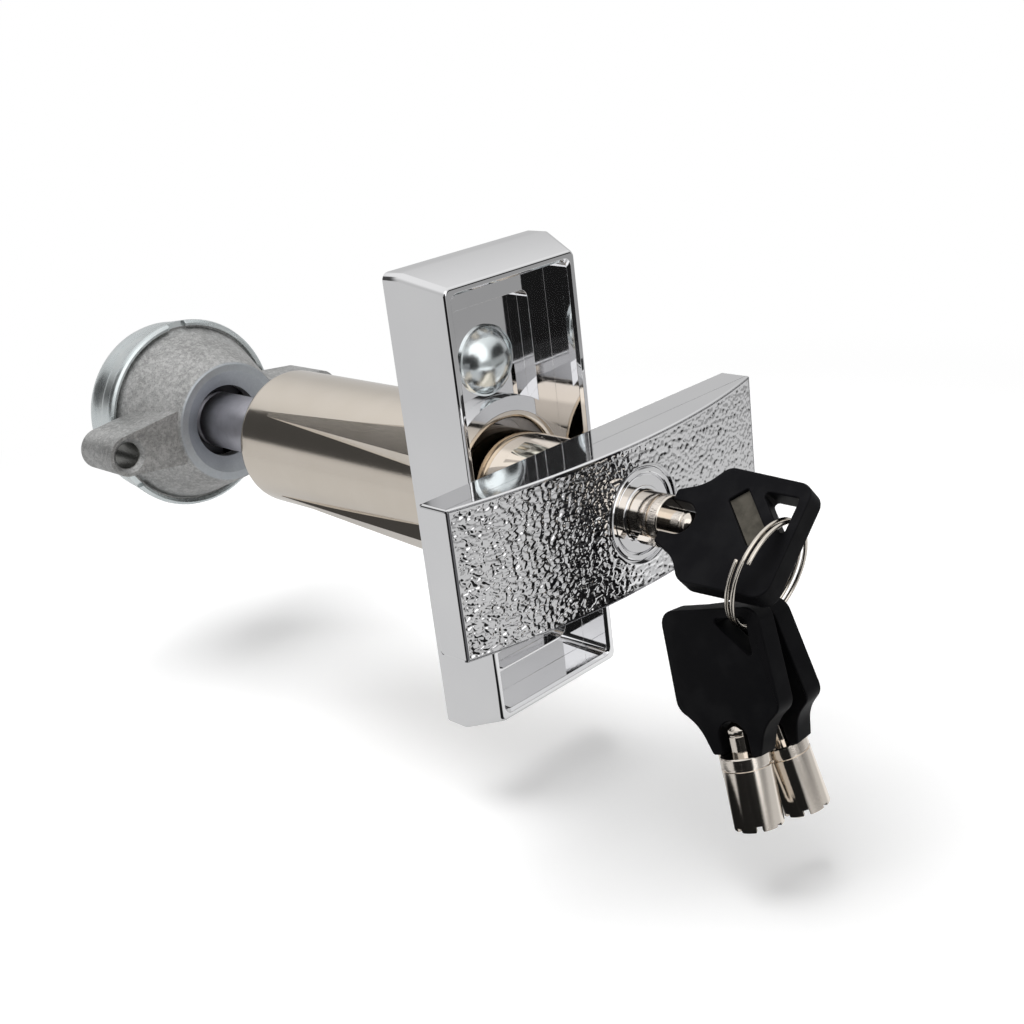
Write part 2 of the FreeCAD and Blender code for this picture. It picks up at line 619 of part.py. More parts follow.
def bow_face():
    """The bow's outline in its own plane: width along X, length along Z from the neck."""
    edges = []
    for side in (1, -1):
        neck = V(side * BOW_NECK_W, 0, 0)
        shoulder = V(side * BOW_SHOULDER_W, 0, BOW_SHOULDER_L)
        run = shoulder - neck
        inward = V(-side * run.z, 0, abs(run.x)).normalize()
        middle = (neck + shoulder) * 0.5 + inward * BOW_NECK_SAG
        edges.append(Part.Arc(neck, middle, shoulder).toShape())
        edges.append(Part.LineSegment(shoulder, V(side * BOW_END_W, 0, BOW_L)).toShape())
    edges.append(Part.LineSegment(V(BOW_NECK_W, 0, 0), V(-BOW_NECK_W, 0, 0)).toShape())
    edges.append(Part.LineSegment(V(BOW_END_W, 0, BOW_L), V(-BOW_END_W, 0, BOW_L)).toShape())
    return Part.Face(Part.Wire(Part.__sortEdges__(edges)))


def key_bow():
    """The moulded bow with its neck notch, ring hole and the recess for the plate."""
    bow = bow_face().extrude(V(0, BOW_T, 0))
    bow.translate(V(0, -BOW_T / 2, 0))
    through = [e for e in bow.Edges if e.BoundBox.YLength > BOW_T / 2 and e.BoundBox.ZMin > CUT_OVER]
    bow = bow.makeFillet(BOW_CORNER_R, through)
    rims = [e for e in bow.Edges if e.BoundBox.YLength < BOW_EDGE_R / 2 and e.BoundBox.ZMax > CUT_OVER]
    bow = bow.makeFillet(BOW_EDGE_R, rims)
    notch_round = NOTCH_L - NOTCH_HALF_W
    notch = block(-NOTCH_HALF_W, NOTCH_HALF_W, -BOW_T, BOW_T, -CUT_OVER, notch_round)
    notch = notch.fuse(Part.makeCylinder(NOTCH_HALF_W, 2 * BOW_T, V(0, -BOW_T, notch_round), AXIS_Y))
    corner = V(HOLE_CORNER_W, -BOW_T, HOLE_CORNER_L)
    pts = [corner, corner - V(0, 0, HOLE_LEG), corner - V(HOLE_LEG, 0, 0)]
    hole = Part.Face(Part.makePolygon(pts + [corner])).extrude(V(0, 2 * BOW_T, 0))
    hole = hole.makeFillet(HOLE_ROUND, [e for e in hole.Edges if e.BoundBox.YLength > BOW_T])
    recess = plate_block(PRESS_FIT, BOW_T / 2 - PLATE_RECESS, BOW_T)
    return bow.cut(notch).cut(hole).cut(recess)


def plate_block(grow, y0, y1):
    """A block with the plate's outline, laid slantwise beside the ring hole."""
    half_l = PLATE_L / 2 + grow
    half_w = PLATE_W / 2 + grow
    piece = block(-half_l, half_l, y0, y1, -half_w, half_w)
    piece.rotate(ORIGIN, AXIS_Y, 45)
    piece.translate(V(PLATE_AT_W, 0, PLATE_AT_L))
    return piece


def key_tube():
    """The key's tube: stub in the bow, groove, lug, bore, drive rib and the seven pin cuts."""
    tube = Part.makeCylinder(TUBE_R, TUBE_L, V(0, 0, -TUBE_L), AXIS_Z)
    nose_at = STUB_L - STUB_NOSE
    tube = tube.fuse(Part.makeCylinder(STUB_R, nose_at, ORIGIN, AXIS_Z))
    tube = tube.fuse(Part.makeCone(STUB_R, STUB_NOSE_R, STUB_NOSE, V(0, 0, nose_at), AXIS_Z))
    tube = tube.cut(Part.makeCylinder(TUBE_BORE_R, TUBE_BORE_DEPTH, V(0, 0, -TUBE_L), AXIS_Z))
    groove = Part.makeCylinder(TUBE_R + CUT_OVER, GROOVE_W, V(0, 0, -GROOVE_AT), AXIS_Z)
    groove = groove.cut(Part.makeCylinder(TUBE_R - GROOVE_DEPTH, GROOVE_W, V(0, 0, -GROOVE_AT), AXIS_Z))
    tube = tube.cut(groove)
    lug_root = (TUBE_R + TUBE_BORE_R) / 2
    lug = block(-LUG_R, -lug_root, -LUG_W / 2, LUG_W / 2, -LUG_AT - LUG_L, -LUG_AT)
    rib = block(-lug_root, DRIVE_RIB_RISE - TUBE_BORE_R, -DRIVE_RIB_W / 2, DRIVE_RIB_W / 2,
                -TUBE_L, DRIVE_RIB_L - TUBE_L)
    tube = tube.fuse(lug).fuse(rib)
    for k, cut in enumerate(KEY_CUTS):
        a = 2 * math.pi * k / PIN_COUNT
        place = V(PIN_CIRCLE_R * math.cos(a), PIN_CIRCLE_R * math.sin(a), -TUBE_L)
        tube = tube.cut(Part.makeCylinder(PIN_R + CUT_GAP, cut, place, AXIS_Z))
    return tube.removeSplitter()


def key_solids():
    """One key, its neck at the origin, its bow along +Z and its width along X."""
    plate = plate_block(0, BOW_T / 2 - PLATE_RECESS, BOW_T / 2 - PLATE_RECESS + PLATE_T)
    return {"tube": key_tube(), "bow": key_bow(), "plate": plate}


def make_lock_key():
    """The key in the lock, turned so that its bow lies at KEY_TURN to the handle."""
    for name, solid in key_solids().items():
        solid.rotate(ORIGIN, AXIS_X, 90)
        solid.rotate(ORIGIN, AXIS_Y, -KEY_TURN)
        solid.translate(V(0, NECK_Y, 0))
        parts["key_" + name] = solid


def ring_frame():
    """Centre of the split ring, the direction up in its plane and the direction of its axis."""
    lean = math.radians(RING_LEAN)
    up = V(0, -math.sin(lean), math.cos(lean))
    axle = V(0, math.cos(lean), math.sin(lean))
    top_y = NECK_Y - HOLE_CORNER_L + RING_WALL_GAP
    centre = V(RING_X, top_y, RING_TOP_Z) - up * RING_R
    return centre, up, axle


def make_ring():
    """The split ring: two turns through the key's hole and round the edge of its bow."""
    centre, up, axle = ring_frame()
    ring = coil("split_ring", RING_R, RING_PITCH, RING_TURNS, RING_WIRE)
    ring.translate(V(0, 0, -RING_PITCH * RING_TURNS / 2))
    ring.rotate(ORIGIN, AXIS_Z, -RING_END_DEG)
    ring.rotate(ORIGIN, AXIS_X, -90 + RING_LEAN)
    ring.translate(centre)
    parts["split_ring"] = ring


def make_spare(name, offset, lean, splay, hook):
    """A spare key that hangs from the ring at offset from the ring's centre."""
    centre, up, axle = ring_frame()
    drop = math.sqrt(RING_R ** 2 - offset ** 2)
    wire = centre + V(offset, 0, 0) - up * drop
    print("%s hangs at x %.2f y %.2f z %.2f" % (name, wire.x, wire.y, wire.z))
    for piece, solid in key_solids().items():
        solid.translate(V(-hook[0], 0, -hook[1]))
        solid.rotate(ORIGIN, AXIS_Z, -90)
        solid.rotate(ORIGIN, AXIS_X, -lean)
        solid.rotate(ORIGIN, AXIS_Y, splay)
        solid.translate(wire)
        parts["%s_%s" % (name, piece)] = solid


def make_casting():
    """The receiver's casting: a cone with two ears, a mouth and the cone for the split nut."""
    flange_r = COVER_R - COVER_SHEET - PRESS_FIT
    body = turned([(0, REC_FRONT_Y), (REC_FRONT_R, REC_FRONT_Y), (REC_REAR_R, REC_CONE_END_Y),
                   (flange_r, REC_CONE_END_Y), (flange_r, REC_BACK_Y), (0, REC_BACK_Y)])
    half = EAR_PITCH / 2
    for side in (-1, 1):
        ear = tube_y(EAR_R, EAR_FRONT_Y, EAR_BACK_Y, x=side * half)
        arm = block(min(0, side * half), max(0, side * half), EAR_FRONT_Y, EAR_BACK_Y, -EAR_R, EAR_R)
        body = body.fuse(ear).fuse(arm)
    body = body.cut(turned([(0, REC_FRONT_Y - CUT_OVER), (REC_MOUTH_R, REC_FRONT_Y - CUT_OVER),
                            (REC_MOUTH_R, REC_FRONT_Y), (REC_HOLE_R, REC_MOUTH_Y), (REC_HOLE_R, REC_CAVITY_Y),
                            (REC_CAVITY_FRONT_R, REC_CAVITY_Y), (REC_CAVITY_REAR_R, REC_BACK_Y),
                            (REC_CAVITY_REAR_R, REC_BACK_Y + CUT_OVER), (0, REC_BACK_Y + CUT_OVER)]))
    for side in (-1, 1):
        body = body.cut(tube_y(EAR_HOLE_R, EAR_FRONT_Y - CUT_OVER, EAR_BACK_Y + CUT_OVER, x=side * half))
        sink = Part.makeCone(EAR_HOLE_R + EAR_SINK, EAR_HOLE_R, EAR_SINK, V(side * half, EAR_FRONT_Y, 0), AXIS_Y)
        body = body.cut(sink)
    parts["receiver_casting"] = body.removeSplitter()


def cone_r(y):
    """Outer radius of the split nut at y, a small gap inside the casting's cone."""
    return REC_CAVITY_FRONT_R + (y - REC_CAVITY_Y) * CAVITY_SLOPE - SEG_CONE_FIT


def make_split_nut():
    """The nut in segments that ride the cone, the plate behind them and its spring."""
    bore = ROD_R + SEG_BORE_FIT
    whole = turned([(bore, SEG_FRONT_Y), (cone_r(SEG_FRONT_Y), SEG_FRONT_Y),
                    (cone_r(SEG_REAR_Y), SEG_REAR_Y), (bore, SEG_REAR_Y)])
    step = 360 / SEG_COUNT
    for k in range(SEG_COUNT):
        saw = block(0, COVER_R, SEG_FRONT_Y - CUT_OVER, SEG_REAR_Y + CUT_OVER, -SEG_HALF_GAP, SEG_HALF_GAP)
        saw.rotate(ORIGIN, AXIS_Y, -90 - (k + 0.5) * step)
        whole = whole.cut(saw)
    for k in range(SEG_COUNT):
        a = math.radians(90 + k * step)
        outward = V(math.cos(a), 0, math.sin(a))
        parts["nut_segment_%d" % (k + 1)] = max(whole.Solids, key=lambda s: s.CenterOfMass.dot(outward))
    parts["pressure_plate"] = tube_y(cone_r(SEG_REAR_Y) - PUSHER_FIT, SEG_REAR_Y, SEG_REAR_Y + PUSHER_T,
                                     ROD_R + PUSHER_BORE_GAP)
    start = SEG_REAR_Y + PUSHER_T + SEG_WIRE / 2 + SPRING_GAP
    end = COVER_BACK_Y - COVER_SHEET - SEG_WIRE / 2 - SPRING_GAP
    spring = coil("segment_spring", SEG_COIL_R, (end - start) / SEG_TURNS, SEG_TURNS, SEG_WIRE)
    parts["segment_spring"] = lay_along_y(spring, start)


def cup(r, y0, y1, round_r):
    """A solid cylinder with its rear edge rounded."""
    body = tube_y(r, y0, y1)
    rim = [e for e in body.Edges if e.BoundBox.YLength < CUT_OVER and e.BoundBox.YMin > (y0 + y1) / 2]
    return body.makeFillet(round_r, rim)


def make_cover():
    """The pressed cup that closes the receiver, its lip crimped over the casting's flange."""
    inner = COVER_R - COVER_SHEET
    lip_y = REC_CONE_END_Y - PRESS_FIT
    lip_front = lip_y - COVER_SHEET
    lip_r = REC_REAR_R + COVER_LIP_GAP
    body = cup(COVER_R, lip_front, COVER_BACK_Y, COVER_ROUND)
    body = body.cut(cup(inner, lip_y, COVER_BACK_Y - COVER_SHEET, COVER_ROUND - COVER_SHEET))
    body = body.cut(tube_y(lip_r, lip_front - CUT_OVER, lip_y + CUT_OVER))
    for angle in COVER_SLOTS:
        slot = block(lip_r - CUT_OVER, COVER_R + CUT_OVER, lip_front - CUT_OVER, lip_y,
                     -COVER_SLOT_W / 2, COVER_SLOT_W / 2)
        slot.rotate(ORIGIN, AXIS_Y, -angle)
        body = body.cut(slot)
    parts["receiver_cover"] = body


def make_fixing():
    """The carriage bolt in the upper well, with its washer and nut where a door's sheet ends."""
    dome_r = (HEAD_R ** 2 + HEAD_H ** 2) / (2 * HEAD_H)
    dome = Part.makeSphere(dome_r, V(0, WELL_Y - HEAD_H + dome_r, STUD_Z))
    head = dome.common(tube_y(HEAD_R, WELL_Y - 2 * HEAD_H, WELL_Y, z=STUD_Z))
    half = SQUARE / 2
    neck = block(-half, half, WELL_Y, -SQUARE_GAP, STUD_Z - half, STUD_Z + half)
    stud = tube_y(STUD_R, WELL_Y - FACE_GAP, STUD_END_Y, z=STUD_Z)
    parts["fixing_bolt"] = head.fuse(neck).fuse(stud).removeSplitter()
    nut_y = DOOR_T + FIX_WASHER_T
    parts["fixing_washer"] = tube_y(FIX_WASHER_R, DOOR_T, nut_y, STUD_R + LOOSE_FIT, z=STUD_Z)
    corner_r = NUT_AF / math.sqrt(3)
    pts = []
    for k in range(6):
        a = math.radians(60 * k)
        pts.append(V(corner_r * math.cos(a), nut_y, STUD_Z + corner_r * math.sin(a)))
    nut = Part.Face(Part.makePolygon(pts + [pts[0]])).extrude(V(0, NUT_T, 0))
    bore = tube_y(STUD_R + PRESS_FIT, 0, nut_y + NUT_T + CUT_OVER, z=STUD_Z)
    parts["fixing_nut"] = nut.cut(bore)


make_escutcheon()
make_barrel()
make_bearings()
make_pop_spring()
make_handle()
make_rod()
make_lock_shell()
make_pins()
make_latch()
make_lock_key()
make_ring()
make_spare("spare_key_a", SPARE_A_X, SPARE_A_LEAN, SPARE_A_SPLAY, SPARE_A_HOOK)
make_spare("spare_key_b", SPARE_B_X, SPARE_B_LEAN, SPARE_B_SPLAY, SPARE_B_HOOK)
make_casting()
make_split_nut()
make_cover()
make_fixing()

os.makedirs("parts", exist_ok=True)
for name, shape in parts.items():
    print("%-20s %d solids, valid %s, %.1f mm3" % (name, len(shape.Solids), shape.isValid(), shape.Volume))
    shape.exportStep("parts/%s.step" % name)
print(len(parts), "nodes")
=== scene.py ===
import json
import math

import bmesh
import bpy
from mathutils import Matrix, Vector, noise


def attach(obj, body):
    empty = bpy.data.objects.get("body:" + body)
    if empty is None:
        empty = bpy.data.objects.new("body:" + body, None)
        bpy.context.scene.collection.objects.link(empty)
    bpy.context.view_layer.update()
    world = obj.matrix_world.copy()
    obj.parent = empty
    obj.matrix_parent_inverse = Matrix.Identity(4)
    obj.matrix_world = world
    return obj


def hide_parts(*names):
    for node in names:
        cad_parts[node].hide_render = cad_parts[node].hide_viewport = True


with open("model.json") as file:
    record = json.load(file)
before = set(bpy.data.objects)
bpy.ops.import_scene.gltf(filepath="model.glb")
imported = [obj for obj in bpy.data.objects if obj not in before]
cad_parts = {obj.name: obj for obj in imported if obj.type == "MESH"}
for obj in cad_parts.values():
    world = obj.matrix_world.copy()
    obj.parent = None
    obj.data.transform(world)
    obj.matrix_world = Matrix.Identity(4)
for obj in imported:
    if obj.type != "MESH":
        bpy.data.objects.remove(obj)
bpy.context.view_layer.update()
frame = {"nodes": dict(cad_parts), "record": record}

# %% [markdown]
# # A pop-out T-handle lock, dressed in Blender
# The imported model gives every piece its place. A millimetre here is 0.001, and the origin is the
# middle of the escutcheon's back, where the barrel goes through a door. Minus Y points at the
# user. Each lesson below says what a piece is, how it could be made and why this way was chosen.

MM = 0.001


def mm(*numbers):
    """Millimetres as a vector in metres."""
    return Vector([MM * n for n in numbers])


def say(piece):
    """Prints what a cell made."""
    size = ", ".join("%.1f" % (1000 * n) for n in piece.dimensions)
    print("%s: %d faces, %s mm" % (piece.name, len(piece.data.polygons), size))


# %% [markdown]
# The camera stands where the photograph was taken from: to the left, in front and above. Its
# place was worked out from the corners of the escutcheon and the handle, so a short lens on a
# near camera gives the same strong perspective.

# %% Camera
CAMERA_PLACE = mm(-197.59, -220.56, 102.39)
CAMERA_RIGHT = Vector((0.7009015, -0.7036191, -0.1168644))
CAMERA_UP = Vector((0.3266031, 0.1709485, 0.9295736))
CAMERA_LENS = 51.03

lens = bpy.data.cameras.new("photo_camera")
lens.lens = CAMERA_LENS
lens.sensor_width = 36
lens.clip_start = 0.01
camera = bpy.data.objects.new("photo_camera", lens)
bpy.context.scene.collection.objects.link(camera)
turn = Matrix((CAMERA_RIGHT, CAMERA_UP, CAMERA_RIGHT.cross(CAMERA_UP))).transposed()
camera.matrix_world = Matrix.Translation(CAMERA_PLACE) @ turn.to_4x4()
bpy.context.scene.camera = camera
bpy.context.scene.view_settings.view_transform = "Standard"
print("camera at", [round(n, 4) for n in camera.location])

# %% [markdown]
# Shader maths is easier to read as sums. A Value stands for one number that a node gives, so
# `1 - mask` adds a Math node by itself. Every other node is added by Recipe.node, which takes its
# type, its settings and what goes into its sockets.

# %% Writing materials as sums
# Outputs of nodes that are asked for by number
GENERATED, OBJECT_COORDINATES = 0, 3
CAMERA_RAY, GLOSSY_RAY, TRANSMISSION_RAY = 0, 3, 6
POINTINESS = 7


class Value:
    """A number from a node's socket. Sums with it add Math nodes."""

    def __init__(self, recipe, socket):
        self.recipe = recipe
        self.socket = socket

    def maths(self, operation, first, second):
        return self.recipe.node("Math", {"operation": operation}, {0: first, 1: second})

    def __add__(self, other):
        return self.maths("ADD", self, other)

    __radd__ = __add__

    def __mul__(self, other):
        return self.maths("MULTIPLY", self, other)

    __rmul__ = __mul__

    def __sub__(self, other):
        return self.maths("SUBTRACT", self, other)

    def __rsub__(self, other):
        return self.maths("SUBTRACT", other, self)

    def __truediv__(self, other):
        return self.maths("DIVIDE", self, other)

    def __pow__(self, other):
        return self.maths("POWER", self, other)

    def ramp(self, low, high):
        """0 below low, 1 above high, and a smooth rise between."""
        return self.recipe.node("MapRange", {"interpolation_type": "SMOOTHSTEP"},
                                {"Value": self, "From Min": low, "From Max": high})


class Recipe:
    """The nodes of one material or of the world."""

    def __init__(self, owner, output="ShaderNodeOutputMaterial"):
        self.owner = owner
        owner.use_nodes = True
        self.tree = owner.node_tree
        self.tree.nodes.clear()
        self.out = self.tree.nodes.new(output)

    def node(self, kind, settings=None, sockets=None, out=0):
        """Adds one node, gives it its settings and then its sockets, and returns an output."""
        made = self.tree.nodes.new("ShaderNode" + kind)
        for name, setting in (settings or {}).items():
            setattr(made, name, setting)
        for name, given in (sockets or {}).items():
            if isinstance(given, Value):
                self.tree.links.new(given.socket, made.inputs[name])
            else:
                socket = made.inputs[name]
                wide = getattr(socket, "type", "") == "RGBA" and len(given) == 3
                socket.default_value = (*given, 1) if wide else given
        return Value(self, made.outputs[out])

    def finish(self, surface):
        self.tree.links.new(surface.socket, self.out.inputs["Surface"])

    def point(self):
        """A point on the piece, in its object's own metres."""
        return self.node("TexCoord", out=OBJECT_COORDINATES)

    def place(self, scale=(1, 1, 1), turn=(0, 0, 0)):
        """A point on the piece in millimetres, stretched and turned."""
        stretch = [n / MM for n in scale]
        return self.node("Mapping", None,
                         {"Vector": self.point(), "Rotation": turn, "Scale": stretch})

    def noise(self, where, size, detail=3.0, rough=0.5, warp=0.0):
        """Soft noise whose lumps are about size millimetres across."""
        return self.node("TexNoise", None, {"Vector": where, "Scale": 1 / size, "Detail": detail,
                                            "Roughness": rough, "Distortion": warp})

    def blend(self, share, first, second):
        """A colour between first and second. A Mix node keeps its colours in sockets 6 and 7."""
        return self.node("Mix", {"data_type": "RGBA"}, {0: share, 6: first, 7: second}, out=2)

    def bump(self, height, depth_mm, under=None):
        """A normal from a height of 0 to 1, with the depth in millimetres."""
        sockets = {"Height": height, "Distance": depth_mm * MM, "Strength": 1.0}
        if under is not None:
            sockets["Normal"] = under
        return self.node("Bump", None, sockets)


print("nodes are written as sums")

# %% [markdown]
# The object floats over a plain pale floor, as in the photograph. The floor's matt part takes
# the object's shadow, and a glow lifts the rest to white for the eye. Where the photograph was
# taken the room behind the lens was dark, so metal sees the floor go dark towards the front left
# and close in front of the lower pocket. It sees it dimmer far out to the right, and lit by the
# chrome's own light nearer by. Lengths in this cell's sums are metres.

# %% Floor
FLOOR_Z = -69.0


def light_path(recipe, kind):
    """1 for rays of one kind, such as CAMERA_RAY."""
    return recipe.node("LightPath", out=kind)


def parts_of(recipe, vector):
    """The three numbers of a vector, each as a Value."""
    split = recipe.node("SeparateXYZ", None, {0: vector}).socket.node
    return [Value(recipe, socket) for socket in split.outputs]


def length(across, along):
    """The length of a vector on the floor. The small number keeps it above 0."""
    return (across * across + along * along + 0.0001) ** 0.5


def spot(east, north, centre, inner, outer):
    """1 within inner of a centre on the floor and 0 past outer."""
    square = (east - centre[0]) ** 2 + (north - centre[1]) ** 2
    return 1 - square.ramp(inner ** 2, outer ** 2)


bpy.ops.mesh.primitive_plane_add(size=6, location=mm(0, 0, FLOOR_Z))
floor = bpy.context.object
floor.name = "floor"
recipe = Recipe(bpy.data.materials.new("pale_floor"))
east, north, height = parts_of(recipe, recipe.point())
away = length(east, north)
ahead = north + 0.05
beside = length(east, ahead)
to_left = ((east * -0.88 + ahead * -0.48) / beside).ramp(0.80, 0.86)
to_right = ((east * 0.70 + north * -0.71) / away).ramp(0.10, 0.70)
dark = to_left * beside.ramp(0.03, 0.06)
dark = dark + (1 - dark) * spot(east, north, (-0.035, -0.055), 0.028, 0.040)
dim = to_right * away.ramp(0.22, 0.45)
lit = spot(east, north, (0.052, -0.060), 0.030, 0.060)
seen_by_metal = (1 - dark * 0.98) * (1 - dim * 0.45) * (1 + lit * 0.50)
eye = light_path(recipe, CAMERA_RAY)
mirror = light_path(recipe, GLOSSY_RAY)
shade = eye * 0.95 + (1 - eye) * (0.50 - 0.30 * mirror) * (1 - mirror * (1 - seen_by_metal))
matt = recipe.node("BsdfDiffuse", None, {"Color": shade})
glow = recipe.node("Emission", None, {"Strength": eye * 0.21 + mirror * seen_by_metal * 0.44})
near = recipe.node("AddShader", None, {0: matt, 1: glow})
far = recipe.node("Emission", None, {"Strength": eye + mirror * seen_by_metal * 0.62
                                     + (1 - eye) * (1 - mirror) * 0.50})
recipe.finish(recipe.node("MixShader", None, {0: away.ramp(0.24, 0.38), 1: near, 2: far}))
floor.data.materials.append(recipe.owner)
print("floor at", FLOOR_Z, "mm")

# %% [markdown]
# Chrome shows nothing but its surroundings, so the room matters more than the lamps. The world is
# plain white for the eye. Metal sees a pale room that greys towards the horizon. A dark gap behind
# the lock draws the stripe along the barrel, a dark doorway at the front right draws the black
# lines on the edges, and a bright window at the front lights the bolt's dome.

# %% Room
world = bpy.data.worlds.new("studio")
bpy.context.scene.world = world
recipe = Recipe(world, "ShaderNodeOutputWorld")
east, north, height = parts_of(recipe, recipe.node("TexCoord", out=GENERATED))
tone = 0.58 + 0.32 * height.ramp(0.30, 0.80)
past_start = east * -0.839 + height * -0.545
past_end = east * -0.070 + height * -0.998
gap = past_start.ramp(-0.015, 0.015) * (1 - past_end.ramp(-0.015, 0.015)) * north.ramp(0.35, 0.60)
lens_side = (east * -0.70 + north * -0.71).ramp(0.88, 0.94) * (1 - height.ramp(0.40, 0.60))
doorway = (east * 0.66 + north * -0.75).ramp(0.84, 0.93) * (1 - height.ramp(0.36, 0.46))
for dark_place, share in ((gap, 0.89), (lens_side, 0.95), (doorway, 0.94)):
    tone = tone * (1 - share * dark_place)
window = (east * -0.40 + north * -0.82 + height * 0.41).ramp(0.80, 0.88)
window = window * (1 - doorway) * (1 - lens_side)
tone = tone + (1.30 - tone) * window
eye = light_path(recipe, CAMERA_RAY) + light_path(recipe, TRANSMISSION_RAY)
metal = light_path(recipe, GLOSSY_RAY)
gathered = 1 - recipe.node("Clamp", None, {"Value": metal + eye})
strength = metal * tone + eye + gathered * 0.34
recipe.finish(recipe.node("Background", None, {"Color": (1, 1, 1), "Strength": strength}))
print("the world is white for the eye and a pale room for metal")

# %% Soft boxes
def soft_box(name, place, aim, size, watts):
    """A rectangular area lamp that looks at a point."""
    lamp = bpy.data.lights.new(name, "AREA")
    lamp.shape = "RECTANGLE"
    lamp.size, lamp.size_y = [MM * s for s in size]
    lamp.energy = watts
    holder = bpy.data.objects.new(name, lamp)
    bpy.context.scene.collection.objects.link(holder)
    holder.location = mm(*place)
    holder.rotation_mode = "QUATERNION"
    holder.rotation_quaternion = (mm(*aim) - mm(*place)).to_track_quat("-Z", "Y")
    return holder


for box in (soft_box("overhead_box", (-60, 90, 500), (0, 10, 0), (420, 420), 2.6),
            soft_box("left_box", (-520, 120, 260), (0, 20, 0), (420, 300), 0.42),
            soft_box("right_box", (420, -420, 240), (0, 0, 0), (300, 420), 0.40)):
    box.visible_glossy = False
print("three soft boxes")

# %% [markdown]
# ## Finishes
# A metal is a Principled shader with Metallic at or near 1. What makes it look real is small:
# a colour that drifts, a roughness that changes where hands and dies have rubbed, and a bump
# too shallow to see except in reflections.

# %% Metal and moulding
def finish_of(colour, rough, normal, metallic=1.0, **fixed):
    """Ends a recipe in a Principled shader. Colour and rough vary, and fixed values stay."""
    recipe = colour.recipe
    sockets = {"Base Color": colour, "Roughness": rough, "Metallic": metallic, "Normal": normal}
    recipe.finish(recipe.node("BsdfPrincipled", None, {**sockets, **fixed}))
    return recipe.owner


def new_recipe(name):
    return Recipe(bpy.data.materials.new(name))


def chrome(name, rough=0.035, wave_mm=0.010, crease_shade=0.0, warm_reflection=0.0):
    """Bright plate over a casting: nearly a mirror, with the casting's slow waves under it.

    Where the crease value isn't 0, hollows of the mesh itself are darker: painted shade in the
    hollows.
    Where the warm value isn't 0, the turned shank behind the bar is tinted warmer, a painted warm
    reflection.
    """
    recipe = new_recipe(name)
    where = recipe.place()
    drift = recipe.noise(where, 14, 2)
    colour = recipe.blend(drift, (0.80, 0.80, 0.815), (0.86, 0.86, 0.865))
    if crease_shade:
        # Painted shade: hollows that pointiness finds are darkened towards near black.
        hollow_shade = 1 - recipe.node("NewGeometry", out=POINTINESS).ramp(0.40, 0.485)
        colour = recipe.blend(hollow_shade * crease_shade, colour, (0.06, 0.06, 0.07))
    if warm_reflection:
        # Painted warm reflection: the shank behind the bar is tinted beige.
        east, along, up = parts_of(recipe, where)
        shank = (1 - ((east * east + up * up) ** 0.5).ramp(12.2, 12.6)) * along.ramp(-29.6, -29.2)
        colour = recipe.blend(shank * warm_reflection, colour, (0.80, 0.71, 0.60))
    wipe = recipe.noise(recipe.place((1, 1, 0.15), (0.3, 0.5, 0.2)), 0.9, 4).ramp(0.45, 0.75)
    dust = recipe.noise(where, 0.35, 2).ramp(0.66, 0.74)
    roughness = rough + 0.045 * wipe + 0.10 * dust
    wave = recipe.bump(recipe.noise(where, 9, 1), wave_mm)
    normal = recipe.bump(recipe.noise(where, 0.8, 2), 0.0006, wave)
    return finish_of(colour, roughness, normal)


def satin_nickel(name, pale, deep, rough, lay):
    """Nickel plate over a turned surface; lay stretches the grain along or round the piece."""
    recipe = new_recipe(name)
    where = recipe.place()
    drift = recipe.noise(where, 8, 3)
    colour = recipe.blend(drift, pale, deep)
    grain = recipe.noise(recipe.place(lay), 0.5, 5, 0.7)
    speck = recipe.noise(where, 0.22, 2)
    roughness = rough - 0.03 + 0.07 * grain + 0.03 * drift
    normal = recipe.bump(grain, 0.004, recipe.bump(speck, 0.007))
    return finish_of(colour, roughness, normal)


def turned_steel(name, pale, deep, rough):
    """Plain machined steel with fine rings round the Y axis and a few oily blotches."""
    recipe = new_recipe(name)
    where = recipe.place()
    blotch = recipe.noise(where, 5, 4, 0.6)
    colour = recipe.blend(blotch.ramp(0.35, 0.7), pale, deep)
    rings = recipe.noise(recipe.place((0.05, 1, 0.05)), 0.25, 3, 0.6)
    roughness = rough - 0.06 + 0.12 * rings + 0.08 * blotch
    return finish_of(colour, roughness, recipe.bump(rings, 0.010))


# The ears' place and holes, for the casting's finish here and its shape further down
EAR_X, EAR_HOLE_R = 30.5, 3.3


def raw_casting(name):
    """Zinc as it leaves the die: pale grey, sandy and mottled, with flow marks.

    The receiver's mouth is faced off smooth, and the walls of the ears' holes are painted dark as
    shade.
    """
    recipe = new_recipe(name)
    where = recipe.place()
    cloud = recipe.noise(where, 7, 4, 0.6)
    sand = recipe.noise(where, 0.45, 4, 0.7)
    flow = recipe.noise(recipe.place((1, 0.25, 1)), 2.5, 3, 0.5, 0.6)
    patch = recipe.noise(where, 1.1, 3, 0.7)
    colour = recipe.blend(cloud.ramp(0.35, 0.65), (0.38, 0.38, 0.375), (0.52, 0.52, 0.515))
    colour = recipe.blend(sand.ramp(0.45, 0.65) * 0.6, colour, (0.24, 0.24, 0.24))
    colour = recipe.blend(patch.ramp(0.48, 0.60) * 0.5, colour, (0.66, 0.66, 0.65))
    east, along, up = parts_of(recipe, where)
    faced = (1 - ((east * east + up * up) ** 0.5).ramp(15.2, 15.8)) * (1 - along.ramp(99.6, 100.2))
    colour = recipe.blend(faced * 0.8, colour, (0.56, 0.60, 0.64))
    # Painted shade: the walls of the ears' holes are darkened.
    from_ear = (east * east) ** 0.5 - EAR_X
    hole_shade = 1 - ((from_ear * from_ear + up * up) ** 0.5).ramp(EAR_HOLE_R, EAR_HOLE_R + 0.3)
    colour = recipe.blend(hole_shade, colour, (0.20, 0.20, 0.19))
    roughness = 0.42 + 0.16 * sand + 0.08 * cloud - 0.14 * faced - 0.25 * hole_shade
    normal = recipe.bump(sand, 0.045, recipe.bump(flow, 0.06))
    return finish_of(colour, roughness, normal, 0.85)


